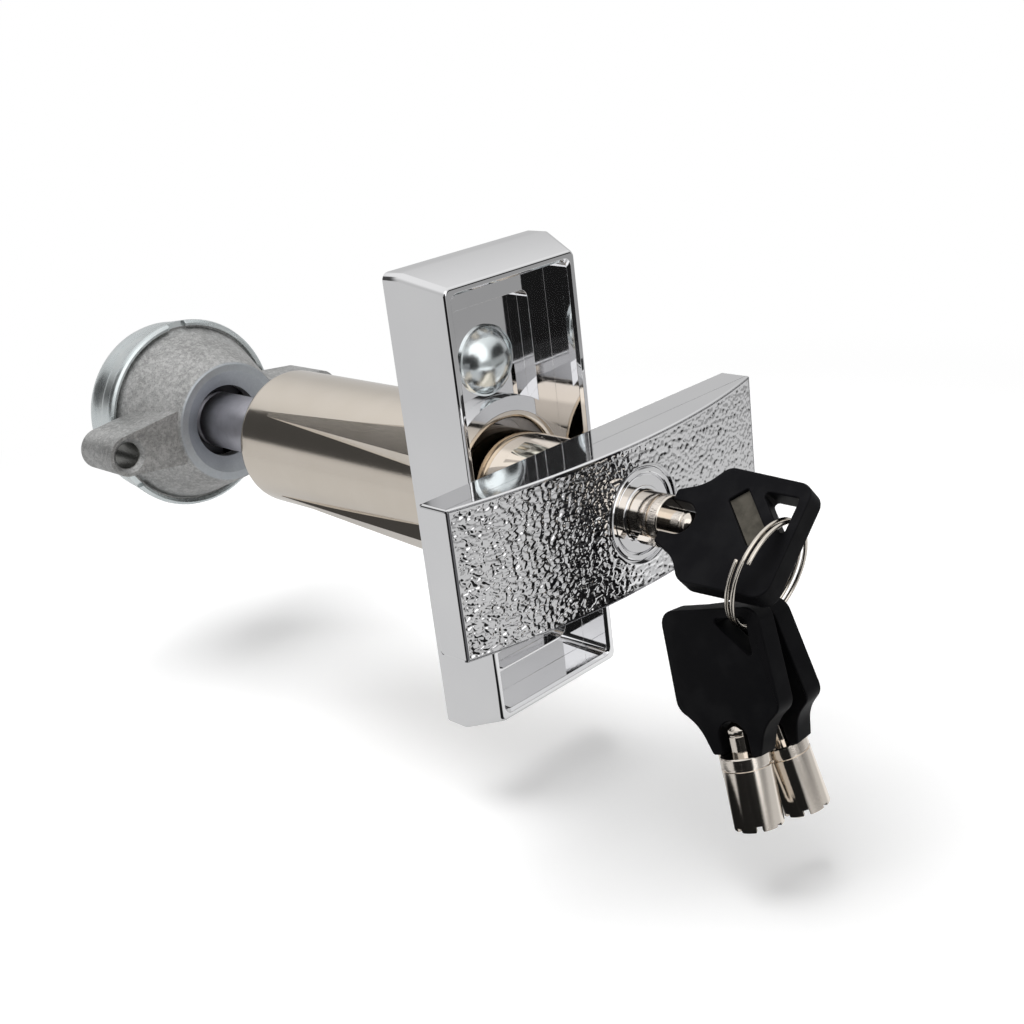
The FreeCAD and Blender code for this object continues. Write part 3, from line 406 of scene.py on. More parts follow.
def zinc_plate(name, rough):
    """Bluish zinc plate on pressed sheet, with drawing lines and faint white bloom."""
    recipe = new_recipe(name)
    where = recipe.place()
    bloom = recipe.noise(where, 6, 4, 0.6).ramp(0.4, 0.75)
    colour = recipe.blend(bloom, (0.80, 0.86, 0.87), (0.90, 0.94, 0.94))
    draw = recipe.noise(recipe.place((0.3, 1, 0.3)), 0.6, 4, 0.6)
    roughness = rough - 0.05 + 0.10 * draw + 0.06 * bloom
    return finish_of(colour, roughness, recipe.bump(draw, 0.010, recipe.bump(bloom, 0.02)))


def moulded_black(name):
    """Black moulding with a fine spark texture, rubbed a little smoother in places."""
    recipe = new_recipe(name)
    where = recipe.place()
    spark = recipe.noise(where, 0.16, 3, 0.6)
    rub = recipe.noise(where, 6, 3).ramp(0.4, 0.7)
    colour = recipe.blend(rub, (0.004, 0.004, 0.005), (0.007, 0.007, 0.008))
    roughness = 0.50 + 0.12 * spark - 0.08 * rub
    return finish_of(colour, roughness, recipe.bump(spark, 0.012), 0.0, IOR=1.18)


def warm_metal(name, pale, deep, rough, grain_mm):
    """Brass or bronze with fine tool marks and a patchy tarnish."""
    recipe = new_recipe(name)
    where = recipe.place()
    tarnish = recipe.noise(where, 4, 4, 0.6).ramp(0.35, 0.75)
    colour = recipe.blend(tarnish, pale, deep)
    marks = recipe.noise(recipe.place((0.2, 1, 0.2)), grain_mm, 3)
    roughness = rough + 0.12 * marks + 0.08 * tarnish
    return finish_of(colour, roughness, recipe.bump(marks, 0.008))


# %% [markdown]
# One finish for each material slot of the record. The CAD nodes whose shape is right keep their
# mesh and only take the finish.

# %% Finishes by slot
FINISHES = {
    "chrome": chrome("chrome_plate"),
    # The handle's chrome paints shade into its hollows (0.85) and a warm reflection on its shank
    # (0.9).
    "textured_chrome": chrome("handle_chrome", 0.04, 0.008, 0.85, 0.9),
    "lock_chrome": chrome("lock_face_chrome", 0.06, 0.004),
    "plated_barrel": satin_nickel("barrel_nickel", (0.74, 0.67, 0.58), (0.80, 0.73, 0.65), 0.11,
                                  (1, 0.35, 1)),
    "key_nickel": satin_nickel("key_tube_nickel", (0.78, 0.71, 0.63), (0.85, 0.79, 0.72),
                               0.07, (1, 0.2, 1)),
    "ring_nickel": satin_nickel("ring_wire_nickel", (0.74, 0.68, 0.60), (0.80, 0.75, 0.68), 0.14,
                                (1, 1, 0.3)),
    "rod_steel": turned_steel("satin_rod", (0.64, 0.63, 0.68), (0.52, 0.515, 0.56), 0.36),
    "hard_steel": turned_steel("hardened_steel", (0.50, 0.50, 0.52), (0.40, 0.40, 0.42), 0.30),
    "spring_steel": turned_steel("spring_wire", (0.36, 0.36, 0.38), (0.26, 0.26, 0.27), 0.33),
    "bearing_bronze": warm_metal("oiled_bronze", (0.55, 0.38, 0.20), (0.36, 0.24, 0.13), 0.38, 0.4),
    "brass": warm_metal("lock_brass", (0.78, 0.58, 0.28), (0.62, 0.44, 0.20), 0.20, 0.3),
    "black_plastic": moulded_black("moulded_black"),
    "key_plate_metal": warm_metal("key_plate", (0.150, 0.138, 0.115), (0.090, 0.083, 0.070),
                                  0.30, 0.5),
    # The parts in the black_oxide slot are given a nearly black steel colour.
    "black_oxide": turned_steel("near_black_steel", (0.045, 0.045, 0.050),
                                (0.028, 0.028, 0.032), 0.40),
    "raw_casting": raw_casting("cast_zinc"),
    "zinc": zinc_plate("zinc_cover", 0.27),
    "bright_zinc": zinc_plate("zinc_bolt", 0.18),
}
for row in frame["record"]["subparts"]:
    node = frame["nodes"][row["node"]]
    node.data.materials.clear()
    node.data.materials.append(FINISHES[row["material_slot"]])
print(len(FINISHES), "finishes on", len(frame["nodes"]), "nodes")

# %% [markdown]
# ## Modelling by hand, in code
# Each new piece starts as a primitive and is shaped in edit mode, as it would be with the mouse.
# An operator works on all that is selected, so everything is deselected before each step, and
# faces, edges or points are then picked by where they are.

# %% Picking and placing
def only(*objects):
    """Selects these objects alone and makes the first one active."""
    bpy.ops.object.select_all(action="DESELECT")
    for chosen in objects:
        chosen.select_set(True)
    bpy.context.view_layer.objects.active = objects[0]


def edit(piece):
    only(piece)
    bpy.ops.object.mode_set(mode="EDIT")
    bpy.ops.mesh.select_all(action="DESELECT")


def stop_edit():
    bpy.ops.object.mode_set(mode="OBJECT")


def pick(piece, kind, test):
    """In edit mode, selects only the faces, edges or verts whose middle passes a test."""
    bpy.ops.mesh.select_mode(type={"faces": "FACE", "edges": "EDGE", "verts": "VERT"}[kind])
    bpy.ops.mesh.select_all(action="DESELECT")
    mesh = bmesh.from_edit_mesh(piece.data)
    for part in getattr(mesh, kind):
        if kind == "faces":
            passed = test(part.calc_center_median() / MM, part.normal)
        elif kind == "edges":
            ends = [v.co / MM for v in part.verts]
            passed = test((ends[0] + ends[1]) / 2, ends[1] - ends[0])
        else:
            passed = test(part.co / MM, part.normal)
        part.select_set(bool(passed))
    mesh.select_flush_mode()
    bmesh.update_edit_mesh(piece.data)


def settle(piece):
    """Moves a piece's place, turn and scale into its mesh, so that its object is at the origin."""
    only(piece)
    bpy.ops.object.transform_apply(location=True, rotation=True, scale=True)
    return piece


def add_block(name, low, high):
    """A cube primitive between two corners in millimetres."""
    low, high = mm(*low), mm(*high)
    bpy.ops.mesh.primitive_cube_add(size=1, location=(low + high) / 2, scale=high - low)
    piece = bpy.context.object
    piece.name = name
    return settle(piece)


def add_rod(name, radius, start, end, sides, second=None):
    """A cylinder or cone primitive from one point to another in millimetres."""
    start, end = mm(*start), mm(*end)
    bpy.ops.mesh.primitive_cone_add(vertices=sides, radius1=radius * MM, depth=(end - start).length,
                                    radius2=(radius if second is None else second) * MM)
    piece = bpy.context.object
    piece.name = name
    piece.matrix_world = (Matrix.Translation((start + end) / 2)
                          @ (end - start).to_track_quat("Z", "Y").to_matrix().to_4x4())
    return settle(piece)


# %% Turning on a lathe
def add_turned(name, profile, steps, axis=(0, 1, 0)):
    """A point is drawn along a profile of (radius, place) pairs and spun round the axis."""
    bpy.ops.mesh.primitive_plane_add(size=MM)
    piece = bpy.context.object
    piece.name = name
    along = Vector(axis)
    side = Vector((1, 0, 0))
    points = [side * (r * MM) + along * (at * MM) for r, at in profile]
    edit(piece)
    pick(piece, "verts", lambda at, n: at.x < 0 or at.y < 0)
    bpy.ops.mesh.delete(type="VERT")
    bpy.ops.mesh.select_all(action="SELECT")
    bpy.ops.transform.translate(value=points[0] - mm(0.5, 0.5, 0))
    for before, after in zip(points, points[1:]):
        bpy.ops.mesh.extrude_vertices_move(TRANSFORM_OT_translate={"value": after - before})
    bpy.ops.mesh.select_all(action="SELECT")
    bpy.ops.mesh.spin(steps=steps, angle=2 * math.pi, center=(0, 0, 0), axis=axis)
    bpy.ops.mesh.select_all(action="SELECT")
    bpy.ops.mesh.remove_doubles(threshold=0.002 * MM)
    bpy.ops.mesh.normals_make_consistent(inside=False)
    stop_edit()
    return piece


# %% Cutting, joining and softening
def apply_modifier(piece, kind, **settings):
    only(piece)
    added = piece.modifiers.new(kind.lower(), kind)
    for name, setting in settings.items():
        setattr(added, name, setting)
    bpy.ops.object.modifier_apply(modifier=added.name)
    return piece


def combine(piece, other, how):
    """Boolean DIFFERENCE, UNION or INTERSECT with another piece, which is used up."""
    apply_modifier(piece, "BOOLEAN", operation=how, object=other, solver="EXACT")
    bpy.data.objects.remove(other)
    return piece


def cut(piece, *tools):
    for tool in tools:
        combine(piece, tool, "DIFFERENCE")
    return piece


def weld(piece, *others):
    for other in others:
        combine(piece, other, "UNION")
    return piece


def tidy_faces(piece, degrees=0.6):
    """Merges what a cut left double and dissolves edges inside flat faces."""
    edit(piece)
    bpy.ops.mesh.select_all(action="SELECT")
    bpy.ops.mesh.remove_doubles(threshold=0.002 * MM)
    bpy.ops.mesh.dissolve_limited(angle_limit=math.radians(degrees))
    stop_edit()
    return piece


def soften(piece, width, segments=2, degrees=32):
    """Rounds the sharp edges by width millimetres and weighs normals, so that flats stay flat."""
    if width:
        apply_modifier(piece, "BEVEL", width=width * MM, segments=segments, limit_method="ANGLE",
                       angle_limit=math.radians(degrees), miter_outer="MITER_ARC")
    only(piece)
    bpy.ops.object.shade_smooth_by_angle(angle=math.radians(degrees))
    apply_modifier(piece, "WEIGHTED_NORMAL", keep_sharp=True, weight=60)
    return piece


def dress(piece, body, slot, *nodes):
    """Gives a finished piece its finish, its body and the CAD nodes that it stands for."""
    settle(piece)
    piece.data.materials.clear()
    piece.data.materials.append(FINISHES[slot])
    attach(piece, body)
    if nodes:
        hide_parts(*nodes)
    say(piece)
    return piece


# %% [markdown]
# ## Escutcheon
# The front casting is a shallow box with flared sides and a deep pocket that the handle folds
# into. A cube is bisected where the flare starts and its front face is drawn in. An inset would
# cross itself at the small corners, so the pocket and the two wells in its floor are cuts, made
# with blocks whose upright edges are rounded as a die rounds them.

# %% Escutcheon
ESC_FRONT = -14.3
FLARE_AT = -5.0
POCKET_FLOOR = -6.6
WELL_FLOOR = -3.4
STUD_Z = 27.0
BACK_HALF = (21.3, 49.8)
FACE_HALF = (18.2, 46.7)
POCKET_HALF = (16.4, 44.9)
WELL_HALF = (11, 39.8)
RIM_DEPTH, RIM_CUT_HALF = 0.7, (18.6, 47.1)
BOSS_R, COLLAR_R = 19, 18.0
MOUTH_R, LIP = 15.8, 0.62
DOOR_T = 3.0
RIB_ANGLES = (40, 140, 220, 320)
RIB_FOOT, RIB_TOP = 5.35, 3.3
RIB_IN_R, RIB_OUT_R, RIB_TIP_R = 15.2, 18.9, 16.5
RIB_KEY = 2.0
NECK_HALF = 3.17


def rounded_block(name, low, high, radius):
    """A block whose edges along Y are rounded."""
    piece = add_block(name, low, high)
    edit(piece)
    pick(piece, "edges", lambda at, run: abs(run.y) > 3)
    bpy.ops.mesh.bevel(offset=radius * MM, segments=6)
    stop_edit()
    return piece


def add_rib(angle, front, rear, tip, grow=0.0):
    """A block whose top is narrowed, squeezed to a low tip at the rear if tip isn't 0."""
    foot, top = RIB_FOOT + grow, RIB_TOP + grow
    rib = add_block("rib", (RIB_IN_R, front, -foot), (RIB_OUT_R + grow, rear, foot))
    edit(rib)
    pick(rib, "verts", lambda at, n: at.x > 17)
    bpy.ops.transform.resize(value=(1, 1, top / foot), center_override=mm(RIB_OUT_R, 0, 0))
    if tip:
        pick(rib, "verts", lambda at, n: at.x > 17 and at.y > 60)
        bpy.ops.transform.translate(value=mm(RIB_TIP_R - RIB_OUT_R, 0, 0))
        bpy.ops.transform.resize(value=(1, 1, tip / top), center_override=mm(RIB_TIP_R, rear, 0))
        pick(rib, "verts", lambda at, n: at.x < 16 and at.y > 60)
        bpy.ops.transform.resize(value=(1, 1, tip / foot), center_override=mm(RIB_IN_R, rear, 0))
    stop_edit()
    rib.rotation_euler = (0, math.radians(-angle), 0)
    return settle(rib)


def box_of(half, front, rear):
    """The two corners of a block round the Y axis, from its half width and half height."""
    return (-half[0], front, -half[1]), (half[0], rear, half[1])


def resize_to(half, new_half):
    """In edit mode, scales what is selected from one half width and half height to another."""
    bpy.ops.transform.resize(value=(new_half[0] / half[0], 1, new_half[1] / half[1]),
                             center_override=(0, 0, 0))


escutcheon = add_block("escutcheon_plate", *box_of(BACK_HALF, ESC_FRONT, 0))
edit(escutcheon)
pick(escutcheon, "edges", lambda at, run: abs(run.y) > 5)
bpy.ops.mesh.bevel(offset=1.6 * MM, segments=5)
bpy.ops.mesh.select_all(action="SELECT")
bpy.ops.mesh.bisect(plane_co=mm(0, FLARE_AT, 0), plane_no=(0, 1, 0))
pick(escutcheon, "faces", lambda at, n: n.y < -0.9)
resize_to(BACK_HALF, FACE_HALF)
pick(escutcheon, "edges", lambda at, run: abs(at.y - ESC_FRONT) < 0.01)
bpy.ops.mesh.bevel(offset=0.55 * MM, segments=3)
stop_edit()
say(escutcheon)

# %% [markdown]
# The pocket's cutter is wider in front of the plate, which chamfers the rim. A face of a cutter
# that lies flush with a face of the plate leaves a skin of no thickness, so the barrel's hole is
# two rods: a wide one that stops short of the pocket's floor, and a narrow one right through.

# %% Pocket, wells and holes
pocket = rounded_block("pocket", *box_of(POCKET_HALF, ESC_FRONT - 2, POCKET_FLOOR), 1.8)
edit(pocket)
bpy.ops.mesh.select_all(action="SELECT")
bpy.ops.mesh.bisect(plane_co=mm(0, ESC_FRONT + RIM_DEPTH, 0), plane_no=(0, 1, 0))
pick(pocket, "faces", lambda at, n: n.y < -0.9)
resize_to(POCKET_HALF, RIM_CUT_HALF)
stop_edit()
wells = rounded_block("wells", *box_of(WELL_HALF, POCKET_FLOOR - 1, WELL_FLOOR), 2)
cut(wells, add_rod("boss", BOSS_R, (0, -20, 0), (0, 5, 0), 96))
neck_hole = NECK_HALF + 0.11
cut(escutcheon, pocket, wells,
    add_rod("barrel_hole", COLLAR_R + 0.02, (0, POCKET_FLOOR + LIP, 0), (0, 5, 0), 96),
    add_rod("mouth_hole", MOUTH_R + 0.03, (0, POCKET_FLOOR - 2, 0), (0, 8, 0), 96),
    add_block("neck_hole", (-neck_hole, -10, STUD_Z - neck_hole), (neck_hole, 5, STUD_Z + neck_hole)),
    *[add_rib(angle, -RIB_KEY, 1, 0, 0.02) for angle in RIB_ANGLES])
tidy_faces(escutcheon)
soften(escutcheon, 0.24, 3)
dress(escutcheon, "housing", "chrome", "escutcheon")

# %% [markdown]
# ## Fixing bolt, washer and nut
# A carriage bolt: a low dome over a square neck, pressed in the upper well. The dome is a slice
# of a sphere, the thread is a row of small ridges, and the nut is a six-sided cylinder whose
# corners are trimmed by a cone, as on a real nut.

# %% Fixing bolt
HEAD_R, HEAD_H, HEAD_RIM = 7.5, 4.4, 0.5
ROOT_R, STEM_END, THREAD_PITCH = 2.72, 18.0, 1.0
dome_r = (HEAD_R ** 2 + HEAD_H ** 2) / (2 * HEAD_H)
edge_angle = math.asin(HEAD_R / dome_r)
arc = []
for k in range(13):
    a = edge_angle * k / 12
    arc.append((dome_r * math.sin(a), WELL_FLOOR - HEAD_H + dome_r * (1 - math.cos(a))))
arc[-1] = (HEAD_R, WELL_FLOOR - HEAD_RIM)
arc += [(HEAD_R, WELL_FLOOR), (2.0, WELL_FLOOR), (0, WELL_FLOOR)]
bolt = add_turned("fixing_bolt_head", arc, 72)
thread = [(0, -1.0), (NECK_HALF, -1.0)]
for k in range(14):
    y = 3.2 + k * THREAD_PITCH
    thread += [(NECK_HALF, y), (ROOT_R, y + 0.42), (ROOT_R, y + 0.58),
               (NECK_HALF, y + THREAD_PITCH)]
stem = add_turned("stem", thread + [(2.75, STEM_END), (0, STEM_END)], 40)
neck = add_block("neck", (-NECK_HALF, WELL_FLOOR - 0.4, -NECK_HALF), (NECK_HALF, -0.1, NECK_HALF))
weld(bolt, neck, stem)
bolt.location = mm(0, 0, STUD_Z)
settle(bolt)
soften(bolt, 0, 1, 28)
dress(bolt, "housing", "bright_zinc", "fixing_bolt")

# %% Washer and nut
WASHER_R, WASHER_HOLE_R, WASHER_T = 7.9, 3.33, 1.6
NUT_R, NUT_BACK, NUT_HOLE_R = 6.41, 7.2, 3.2
washer = add_turned("fixing_washer_ring", [
    (WASHER_HOLE_R, 0), (WASHER_R, 0), (WASHER_R, WASHER_T), (WASHER_HOLE_R, WASHER_T),
    (WASHER_HOLE_R, 0)], 64)
washer.location = mm(0, DOOR_T, STUD_Z)
settle(washer)
soften(washer, 0.2)
dress(washer, "housing", "bright_zinc", "fixing_washer")

nut = add_rod("fixing_nut_hex", NUT_R, (0, WASHER_T, 0), (0, NUT_BACK, 0), 6)
cone = add_turned("nut_cone", [(0, WASHER_T), (7.2, WASHER_T), (7.2, NUT_BACK - 0.9),
                               (5.4, NUT_BACK + 0.1), (0, NUT_BACK + 0.1)], 48)
combine(nut, cone, "INTERSECT")
cut(nut, add_rod("nut_bore", NUT_HOLE_R, (0, 0, 0), (0, 9, 0), 40))
nut.location = mm(0, DOOR_T, STUD_Z)
settle(nut)
soften(nut, 0.15, 2, 25)
dress(nut, "housing", "bright_zinc", "fixing_nut")

# %% [markdown]
# ## Barrel
# The barrel is turned, so it is a profile on the lathe. Its four ribs are cast on. Their front
# ends lie in notches behind the escutcheon, so that the barrel can't turn.

# %% Barrel
BARREL_R, BARREL_BORE_R, ROD_HOLE_R = 16.4, 14.1, 9.75
BARREL_END, BARREL_ROUND, END_WALL = 71.5, 2.6, 5.0
COLLAR_FRONT = POCKET_FLOOR + LIP + 0.02
profile = [(BARREL_BORE_R, -5.2), (14.2, -5.8), (14.5, -6.25), (14.95, -6.52), (15.5, POCKET_FLOOR),
           (MOUTH_R, POCKET_FLOOR), (MOUTH_R, COLLAR_FRONT), (COLLAR_R, COLLAR_FRONT),
           (COLLAR_R, 0), (BARREL_R, 0), (BARREL_R, BARREL_END - BARREL_ROUND)]
for k in range(1, 7):
    a = math.radians(15 * k)
    profile.append((BARREL_R - BARREL_ROUND * (1 - math.cos(a)),
                    BARREL_END - BARREL_ROUND * (1 - math.sin(a))))
profile += [(ROD_HOLE_R, BARREL_END), (ROD_HOLE_R, BARREL_END - END_WALL),
            (BARREL_BORE_R, BARREL_END - END_WALL), (BARREL_BORE_R, -5.2)]
barrel = add_turned("barrel_tube", profile, 128)
for angle in RIB_ANGLES:
    weld(barrel, add_rib(angle, 0, 61, 0.6), add_rib(angle, -RIB_KEY, 0.01, 0))
tidy_faces(barrel, 0.2)
soften(barrel, 0.22, 2, 20)
dress(barrel, "housing", "plated_barrel", "barrel")

# %% [markdown]
# ## Handle
# The bar's front bows forward and carries a cast crinkle. The crinkle is real relief: a fine grid
# is bowed, extruded back into a bar, bevelled, and then its front is pushed in by a cell pattern
# that is bent by noise. Each pebble is a small dome, so that it mirrors the whole room in little.
# The relief fades near the bar's edges and round the lock, where the casting is smooth.

# %% Handle bar
HALF_L, HALF_H = 44.5, 15.0
BAR_BACK, BAR_END, BAR_MID = -29.7, -37.0, -43.7
BOW_R = (HALF_L ** 2 + (BAR_MID - BAR_END) ** 2) / (2 * (BAR_END - BAR_MID))
GRID = 0.18


def bow_y(x):
    """The bar's front at x, an arc that stands furthest out at the lock."""
    return BAR_MID + BOW_R - math.sqrt(BOW_R ** 2 - x ** 2)


def on_border(at):
    """True on the bar's sharp edges: two of its six sides meet there."""
    sides = (abs(abs(at.x) - HALF_L) < 0.01, abs(abs(at.z) - HALF_H) < 0.01,
             abs(at.y - BAR_BACK) < 0.01, abs(at.y - bow_y(at.x)) < 0.01)
    return sum(sides) > 1


bpy.ops.mesh.primitive_grid_add(x_subdivisions=round(2 * HALF_L / GRID), size=MM,
                                y_subdivisions=round(2 * HALF_H / GRID), rotation=(math.pi / 2, 0, 0))
bar = bpy.context.object
bar.name = "t_handle_bar"
bar.scale = (2 * HALF_L, 2 * HALF_H, 1)
settle(bar)
for v in bar.data.vertices:
    v.co.y = bow_y(v.co.x / MM) * MM
edit(bar)
bpy.ops.mesh.select_mode(type="EDGE")
bpy.ops.mesh.select_non_manifold()
bpy.ops.mesh.extrude_region_move(TRANSFORM_OT_translate={"value": mm(0, 10, 0)})
bpy.ops.transform.resize(value=(1, 0, 1), center_override=mm(0, BAR_BACK, 0))
bpy.ops.mesh.edge_face_add()
bpy.ops.mesh.select_all(action="SELECT")
bpy.ops.mesh.normals_make_consistent(inside=False)
pick(bar, "faces", lambda at, n: abs(n.z) > 0.9 or abs(n.x) > 0.9)
bpy.ops.mesh.dissolve_limited(angle_limit=math.radians(0.3))
pick(bar, "edges", lambda at, run: on_border(at))
bpy.ops.mesh.bevel(offset=0.6 * MM, segments=3)
stop_edit()
say(bar)

# %% Crinkle
def fade(distance, start, width):
    """0 until start, then a smooth rise to 1 over width."""
    t = min(max((distance - start) / width, 0), 1)
    return t * t * (3 - 2 * t)


PEBBLE_W, PEBBLE_H, SLANT = 1.15, 0.92, 0.10
BEND, BEND_SIZE = 0.40, 0.9
CREASE_AT, CREASE_SQUARE = 0.85, 0.72
CRINKLE_DEPTH = 0.28
SMOOTH_EDGE, SMOOTH_R = 0.65, 10.1


def crinkle(x, z):
    """Height of the cast crinkle, 0 to 1: domed pebbles about 1 mm wide and the creases between."""
    bend_x, bend_z = [BEND * noise.noise((x * BEND_SIZE, z * BEND_SIZE, layer))
                      for layer in (3.0, 9.0)]
    point = (x / PEBBLE_W + bend_x, z / PEBBLE_H + bend_z + x * SLANT, 0.5)
    nearest = noise.voronoi(point)[0][0]
    return 1 - min(nearest, CREASE_AT) ** 2 / CREASE_SQUARE


for v in bar.data.vertices:
    x, y, z = v.co / MM
    edge = min(HALF_L - abs(x), HALF_H - abs(z))
    share = fade(edge, SMOOTH_EDGE, 0.35) * fade(math.hypot(x, z), SMOOTH_R, 0.4)
    if share > 0 and abs(y - bow_y(x)) < 0.05:
        v.co.y += CRINKLE_DEPTH * MM * share * max(1 - crinkle(x, z), 0)
print("crinkle", CRINKLE_DEPTH, "mm deep on a grid of", GRID, "mm")

# %% [markdown]
# The shank behind the bar is turned, and the bar is welded to it. The lock's recess, its bore and
# the latch's slot are cut last, so that their edges stay crisp through the crinkle.

# %% Shank, recess and slot
SHANK_R, SHANK_LIP_R, SHANK_LIP, SHANK_END = 11.9, 13.9, 30, 34
LOCK_BACK = -13.24
CROSS_PIN_R, CROSS_PIN_Y = 1.5, 24
LATCH_HALF_W, LATCH_FRONT, LATCH_BACK, LATCH_TOP = 4.56, -17.56, -14.44, -4.7
shank = add_turned("shank", [
    (0, BAR_BACK - 3), (SHANK_R, BAR_BACK - 3), (SHANK_R, SHANK_LIP), (SHANK_LIP_R, SHANK_LIP),
    (SHANK_LIP_R, SHANK_END), (0, SHANK_END)], 96)
edit(shank)
pick(shank, "edges", lambda at, run: abs(at.y - SHANK_LIP) < 0.1
     or abs(at.y - SHANK_END) < 0.1 and math.hypot(at.x, at.z) > 5)
bpy.ops.mesh.bevel(offset=0.3 * MM, segments=2)
stop_edit()
weld(bar, shank)
cut(bar, add_rod("recess", 9.95, (0, -60, 0), (0, BAR_MID + 0.8, 0), 96),
    add_rod("lock_bore", 9.5, (0, -60, 0), (0, LOCK_BACK, 0), 96),
    add_rod("rod_bore", 7.27, (0, 18, 0), (0, 60, 0), 64),
    add_rod("cross_hole", CROSS_PIN_R, (-30, CROSS_PIN_Y, 0), (30, CROSS_PIN_Y, 0), 32),
    add_block("latch_slot", (-LATCH_HALF_W, LATCH_FRONT, -14), (LATCH_HALF_W, LATCH_BACK, LATCH_TOP)))
soften(bar, 0, 1, 50)
dress(bar, "handle", "textured_chrome", "t_handle")

# %% [markdown]
# ## Lock face
# The lock's body shows as rings in the recess: a chamfered rim, a stepped dish and the round
# keyway with its notch for the key's lug. A lathe gives the rings, and a block cuts the notch.

# %% Lock body
LOCK_FRONT = -43.4
LOCK_R, KEYWAY_R, CASE_R = 9.45, 4.95, 8.02
RIM = LOCK_FRONT + 0.12
DISH = LOCK_FRONT + 0.3
KEY_TURN = 42.0
profile = [(KEYWAY_R, RIM), (5.07, LOCK_FRONT), (5.55, LOCK_FRONT), (5.65, RIM),
           (5.75, DISH), (7.75, DISH), (7.85, LOCK_FRONT + 0.4), (7.9, LOCK_FRONT + 0.85),
           (8.2, LOCK_FRONT + 0.85), (8.27, RIM), (8.4, LOCK_FRONT), (9.05, LOCK_FRONT),
           (9.3, LOCK_FRONT + 0.15), (LOCK_R, LOCK_FRONT + 0.5), (LOCK_R, LOCK_BACK),
           (CASE_R, LOCK_BACK), (CASE_R, -30.2), (6.65, -30.2), (6.65, -35.2), (KEYWAY_R, -35.2),
           (KEYWAY_R, RIM)]
lock = add_turned("lock_body", profile, 96)
notch = add_block("notch", (-5.85, LOCK_FRONT - 1, -0.85), (0, LOCK_FRONT + 1.6, 0.85))
notch.rotation_euler = (0, math.radians(-KEY_TURN), 0)
cut(lock, settle(notch),
    add_block("latch_way", (-LATCH_HALF_W, LATCH_FRONT, -12), (LATCH_HALF_W, LATCH_BACK, LATCH_TOP)),
    add_rod("keeper_hole", 1.0, (8.75, -27.2, 0), (12, -27.2, 0), 24),
    add_rod("sleeve_pin_hole", 0.8, (-12, -24.2, 0), (-6.85, -24.2, 0), 24))
soften(lock, 0, 1, 28)
dress(lock, "handle", "lock_chrome", "lock_shell")

# %% [markdown]
# ## Rod and receiver
# The rod is turned steel with a satin skin. Its thread only starts inside the receiver. The
# receiver is a raw casting: a cone from the lathe, two ears welded on as blocks and bosses, and
# the soft inside corners that a casting has, which a bevel gives once all is one skin.

# %% Rod
ROD_R, ROD_ROOT_R, ROD_START, ROD_END = 7.25, 6.35, 18, 123.5
THREAD_FROM, ROD_PITCH = 97, 2.117
profile = [(0, ROD_START), (ROD_R, ROD_START), (ROD_R, 101.3)]
for k in range(2, 12):
    y = THREAD_FROM + ROD_PITCH * k
    profile += [(ROD_R, y + 0.32), (ROD_ROOT_R, y + 1.06), (ROD_R, y + 1.8)]
profile += [(ROD_R, ROD_END - 1.2), (ROD_R - 1.2, ROD_END), (0, ROD_END)]
rod = add_turned("threaded_rod_bar", profile, 72)
cut(rod, add_rod("pin_hole", CROSS_PIN_R, (-12, CROSS_PIN_Y, 0), (12, CROSS_PIN_Y, 0), 24))
soften(rod, 0, 1, 30)
dress(rod, "handle", "rod_steel", "threaded_rod")

# %% Receiver casting
EAR_FRONT, EAR_BACK, EAR_R, EAR_SINK_R = 98.3, 113.0, 5.2, 4.5
ARM_X, ARM_FLARE = 15.0, 1.35
BORE_R, BORE_FRONT, BORE_BACK = 9.4, 99.6, 103.0
CUP_R, FLANGE_R, FLANGE_FRONT, FLANGE_BACK = 20.2, 24.18, 116.3, 118.3
casting = add_turned("receiver_body", [
    (BORE_R, BORE_FRONT), (13.0, 97.55), (13.4, 97.3), (15.1, 97.3), (15.6, 97.6), (16.0, 98.3),
    (23.2, FLANGE_FRONT), (FLANGE_R, FLANGE_FRONT), (FLANGE_R, FLANGE_BACK), (CUP_R, FLANGE_BACK),
    (12.4, BORE_BACK), (BORE_R, BORE_BACK), (BORE_R, BORE_FRONT)], 112)
for side in (-1, 1):
    ear = side * EAR_X
    boss = add_rod("boss", EAR_R, (ear, EAR_FRONT, 0), (ear, EAR_BACK, 0), 48)
    arm = add_block("arm", (min(side * ARM_X, ear), EAR_FRONT + 0.01, -EAR_R),
                    (max(side * ARM_X, ear), EAR_BACK - 0.01, EAR_R))
    edit(arm)
    pick(arm, "verts", lambda at, n: abs(at.x) < ARM_X + 1)
    bpy.ops.transform.resize(value=(1, 1, ARM_FLARE), center_override=mm(side * ARM_X, 0, 0))
    stop_edit()
    weld(casting, boss, arm)
cut(casting, add_turned("inside", [
    (0, 96), (13.4, 96), (13.4, 97.3), (BORE_R, BORE_FRONT), (BORE_R, BORE_BACK), (12.4, BORE_BACK),
    (CUP_R, FLANGE_BACK), (CUP_R, 119), (0, 119)], 112))
for side in (-1, 1):
    ear = side * EAR_X
    cut(casting, add_rod("ear_hole", EAR_HOLE_R, (ear, 90, 0), (ear, 120, 0), 40),
        add_rod("ear_sink", EAR_SINK_R, (ear, EAR_FRONT - 0.1, 0), (ear, EAR_FRONT + 1.1, 0), 40,
                EAR_HOLE_R))
tidy_faces(casting, 0.4)
soften(casting, 0.35, 3, 24)
dress(casting, "receiver", "raw_casting", "receiver_casting")

# %% [markdown]
# The cover is pressed from sheet: a cup with a rolled lip that is crimped over the casting's
# flange, two drawn steps in its side and a domed back. The lathe draws both skins of the sheet in
# one profile, and three blocks cut the crimping notches.

